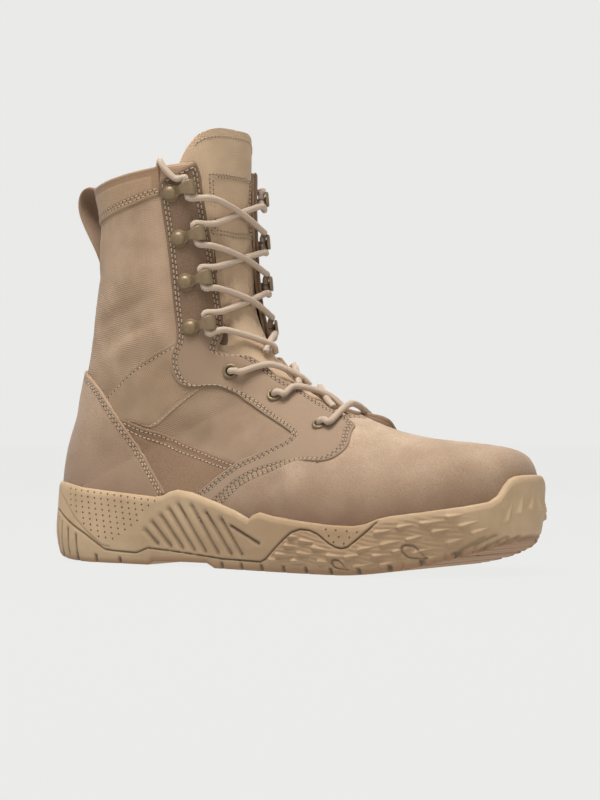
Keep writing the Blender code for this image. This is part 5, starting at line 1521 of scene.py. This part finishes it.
def smooth_route(route, step=1.0):
    """Points every millimetre along a Catmull-Rom curve through a route."""
    p = np.array(route, float)
    p = np.concatenate([[2 * p[0] - p[1]], p, [2 * p[-1] - p[-2]]])
    out = []
    for a, b, c, d in zip(p, p[1:], p[2:], p[3:]):
        t = (np.arange(max(int(np.linalg.norm(c - b) / step), 1)) / max(int(np.linalg.norm(c - b) / step),
                                                                        1))[:, None]
        out.append(0.5 * (2 * b + (c - a) * t + (2 * a - 5 * b + 4 * c - d) * t ** 2
                          + (3 * b - a - 3 * c + d) * t ** 3))
    return np.concatenate(out + [p[-2:-1]])


def cord_grid(path, radius=LACE_RADIUS, sides=14):
    """A round cord: rings square to the path, closed at both ends, and its measures for the braid."""
    forward = np.gradient(path, axis=0)
    forward /= np.linalg.norm(forward, axis=1)[:, None]
    across = np.cross(forward[0], (0.0, 0.0, 1.0))
    sides_of = []
    for run in forward:
        across = across - run * (across @ run)
        across = across / np.linalg.norm(across)
        sides_of.append(across)
    across = np.array(sides_of)
    other = np.cross(forward, across)
    a = np.linspace(0.0, 2 * math.pi, sides + 1)
    r = np.full(len(path), radius)
    ring = across[:, None] * np.cos(a)[None, :, None] + other[:, None] * np.sin(a)[None, :, None]
    grid = path[:, None] + ring * r[:, None, None]
    caps = [np.broadcast_to(path[i], (1, sides + 1, 3)) for i in (0, -1)]
    grid = np.concatenate([caps[0], grid, caps[1]])
    run = lengthwise(path)
    run = np.concatenate([run[:1], run, run[-1:]])
    uv = np.stack([np.broadcast_to(run[:, None] * 0.1, grid.shape[:2]),
                   np.broadcast_to(a[None] / (2 * math.pi), grid.shape[:2])], -1)
    return grid, uv


def lace_piece(name, node, paths):
    """One mesh of cord along each of the paths, in the place of a node."""
    made = [cord_grid(path) for path in paths]
    item = grids_piece(name, [g for g, uv in made], (LACE_CORD,), uvs=[uv for g, uv in made])
    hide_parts(node)
    return item


levels_up = [EYELET_SECTION[2], EYELET_SECTION[1], EYELET_SECTION[0]] + list(HOOK_SECTION[::-1])
for level, (low, high) in enumerate(zip(levels_up, levels_up[1:])):
    lace_piece("lace_crossing_%d" % (level + 1), "lace_cross_%d" % (level + 1),
               [smooth_route(strand(level, low, high, side)) for side in (-1.0, 1.0)])
ends = [eyelet_end(2, side) for side in (-1.0, 1.0)]
middle = on_last(EYELET_SECTION[2], 0.0, OVER_EDGE + 1.8)
lace_piece("lace_lowest_bar", "lace_bar", [smooth_route(ends[0][::-1] + [middle] + ends[1])])
for side, word in ((-1.0, "lateral"), (1.0, "medial")):
    route = hook_end(0, side, False)[::-1]
    route += [lifted(u, side * g, lift) + np.array([0.0, 0.0, rise]) for u, g, lift, rise in OVER_COLLAR]
    path = smooth_route(route)
    end = lace_piece("lace_over_collar_" + word, "lace_end_" + word, [path])
    print("lace_over_collar_%s: %.1f mm" % (word, lengthwise(path)[-1]))

# %% [markdown]
# ## Pull loop
# A strap of the same suede runs up the back of the leg, over in a loop and down again.

# %% Pull loop
LOOP_LINE = [
    # x, z of the strap's middle, half width
    (31.0, 166.0, 6.0), (33.0, 178.0, 8.5), (33.6, 190.0, 9.0), (32.6, 200.0, 9.0), (29.6, 211.0, 9.0),
    (25.8, 217.4, 9.0),
    (19.6, 219.2, 9.0), (14.4, 216.4, 9.0), (12.6, 209.8, 9.0), (15.2, 200.4, 9.0), (22.6, 187.6, 9.0),
    (28.6, 174.6, 8.0),
    (30.6, 160.0, 5.5)]
loop_at = spline(np.arange(len(LOOP_LINE), dtype=float),
                 np.array(LOOP_LINE))(np.linspace(0, len(LOOP_LINE) - 1, 120))
loop_run = np.gradient(loop_at[:, :2], axis=0)
loop_run /= np.linalg.norm(loop_run, axis=1)[:, None]
a = np.linspace(0.0, 2 * math.pi, 33)
wide = np.sign(np.cos(a)) * np.abs(np.cos(a)) ** 0.3
thick = np.sign(np.sin(a)) * np.abs(np.sin(a)) ** 0.6 * 0.9
loop = np.stack([loop_at[:, :1] - loop_run[:, 1:] * thick, loop_at[:, 2:3] * wide,
                 loop_at[:, 1:2] + loop_run[:, :1] * thick], -1)
caps = [np.broadcast_to(loop[i].mean(0), (1, 33, 3)) for i in (0, -1)]
loop = np.concatenate([caps[0], loop, caps[1]])
pull = grids_piece("pull_loop_strap", [loop], (LOOP_SUEDE,))
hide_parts("pull_loop")
print("pull_loop_strap:", len(pull.data.polygons), "faces")

# %% [markdown]
# ## Footbed
# A foam footbed lies on the board inside, a little dished along its rim.

# %% Footbed
INSOLE_THICKNESS, INSOLE_ROOM = 4.0, 2.4
bed_at = np.linspace(0.0, 3.0, 121)
bed_share = 0.5 - 0.5 * np.cos(np.linspace(0.0, math.pi, 25))
bed_inset = FEATHER_INSET + WALL + INSOLE_ROOM
outer_rim, inner_rim = (sole_plan(bed_at, side, bed_inset) for side in (-1, 1))
bed = outer_rim[:, None] + bed_share[None, :, None] * (inner_rim - outer_rim)[:, None]
bed_rim = np.minimum(bed_share, 1.0 - bed_share)[None] * np.linalg.norm(inner_rim - outer_rim, axis=1)[:,
                                                                                                       None]
bed_low = feather_height(bed[..., 0]) + GAP
bed_top = bed_low + INSOLE_THICKNESS * (0.25 + 0.75 * rounded(bed_rim, 2.5)) - 0.9 * ramp(bed_rim, 3.0,
                                                                                          16.0)
bed_uv = bed.reshape(-1, 2) * 0.1
footbed = add_piece("footbed", np.concatenate([np.dstack([bed, bed_top]).reshape(-1, 3),
                                               np.dstack([bed, bed_low]).reshape(-1, 3)]),
                    sewn_faces(*bed.shape[:2]), np.concatenate([bed_uv, bed_uv]), None, (FOOTBED,))
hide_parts("insole")

# %% [markdown]
# ## Floor and closing
# The floor and what lies behind it are as pale as the paper behind the boot.

# %% Floor
floor_paint = Paint("floor", roughness=1.0, specular=0.0)
floor_paint.shader.inputs["Emission Color"].default_value = (0.806, 0.806, 0.790, 1.0)
floor_paint.shader.inputs["Emission Strength"].default_value = 1.0
FLOOR = floor_paint.finish((0.018, 0.018, 0.018, 1.0))
floor_mesh = bpy.data.meshes.new("floor")
floor_mesh.from_pydata([(-40, -40, 0), (40, -40, 0), (40, 40, 0), (-40, 40, 0)], [], [(0, 1, 2, 3)])
floor = bpy.data.objects.new("floor", floor_mesh)
bpy.context.scene.collection.objects.link(floor)
floor_mesh.materials.append(FLOOR)

backdrop_paint = Paint("backdrop", roughness=1.0, specular=0.0)
backdrop_paint.shader.inputs["Emission Color"].default_value = (0.823, 0.823, 0.807, 1.0)
backdrop_paint.shader.inputs["Emission Strength"].default_value = 1.0
BACKDROP = backdrop_paint.finish((0.0, 0.0, 0.0, 1.0))
away = Vector((-math.sin(AZIMUTH), math.cos(AZIMUTH), 0.0))
right_of = Vector((math.cos(AZIMUTH), math.sin(AZIMUTH), 0.0))
backdrop_mesh = bpy.data.meshes.new("backdrop")
backdrop_mesh.from_pydata([away * 30.0 + right_of * x + Vector((0.0, 0.0, z)) for x, z in
                           ((-40.0, -1.0), (40.0, -1.0), (40.0, 30.0), (-40.0, 30.0))], [], [(0, 1, 2, 3)])
backdrop = bpy.data.objects.new("backdrop", backdrop_mesh)
bpy.context.scene.collection.objects.link(backdrop)
backdrop_mesh.materials.append(BACKDROP)

# A ring further out, which the camera alone sees, closes the view from every other side.
around = np.linspace(0.0, 2.0 * math.pi, 65)[:-1]
ring_points = np.concatenate([np.stack([34.0 * np.cos(around), 34.0 * np.sin(around), np.full(64, z)], 1)
                              for z in (-1.0, 34.0)])
ring_mesh = bpy.data.meshes.new("backdrop_ring")
ring_mesh.from_pydata(ring_points.tolist(), [], [(i, (i + 1) % 64, 64 + (i + 1) % 64, 64 + i)
                                                 for i in range(64)])
ring = bpy.data.objects.new("backdrop_ring", ring_mesh)
bpy.context.scene.collection.objects.link(ring)
ring.visible_diffuse = ring.visible_glossy = ring.visible_shadow = False
ring_mesh.materials.append(BACKDROP)
print("backdrop_ring:", len(ring_mesh.polygons), "faces")
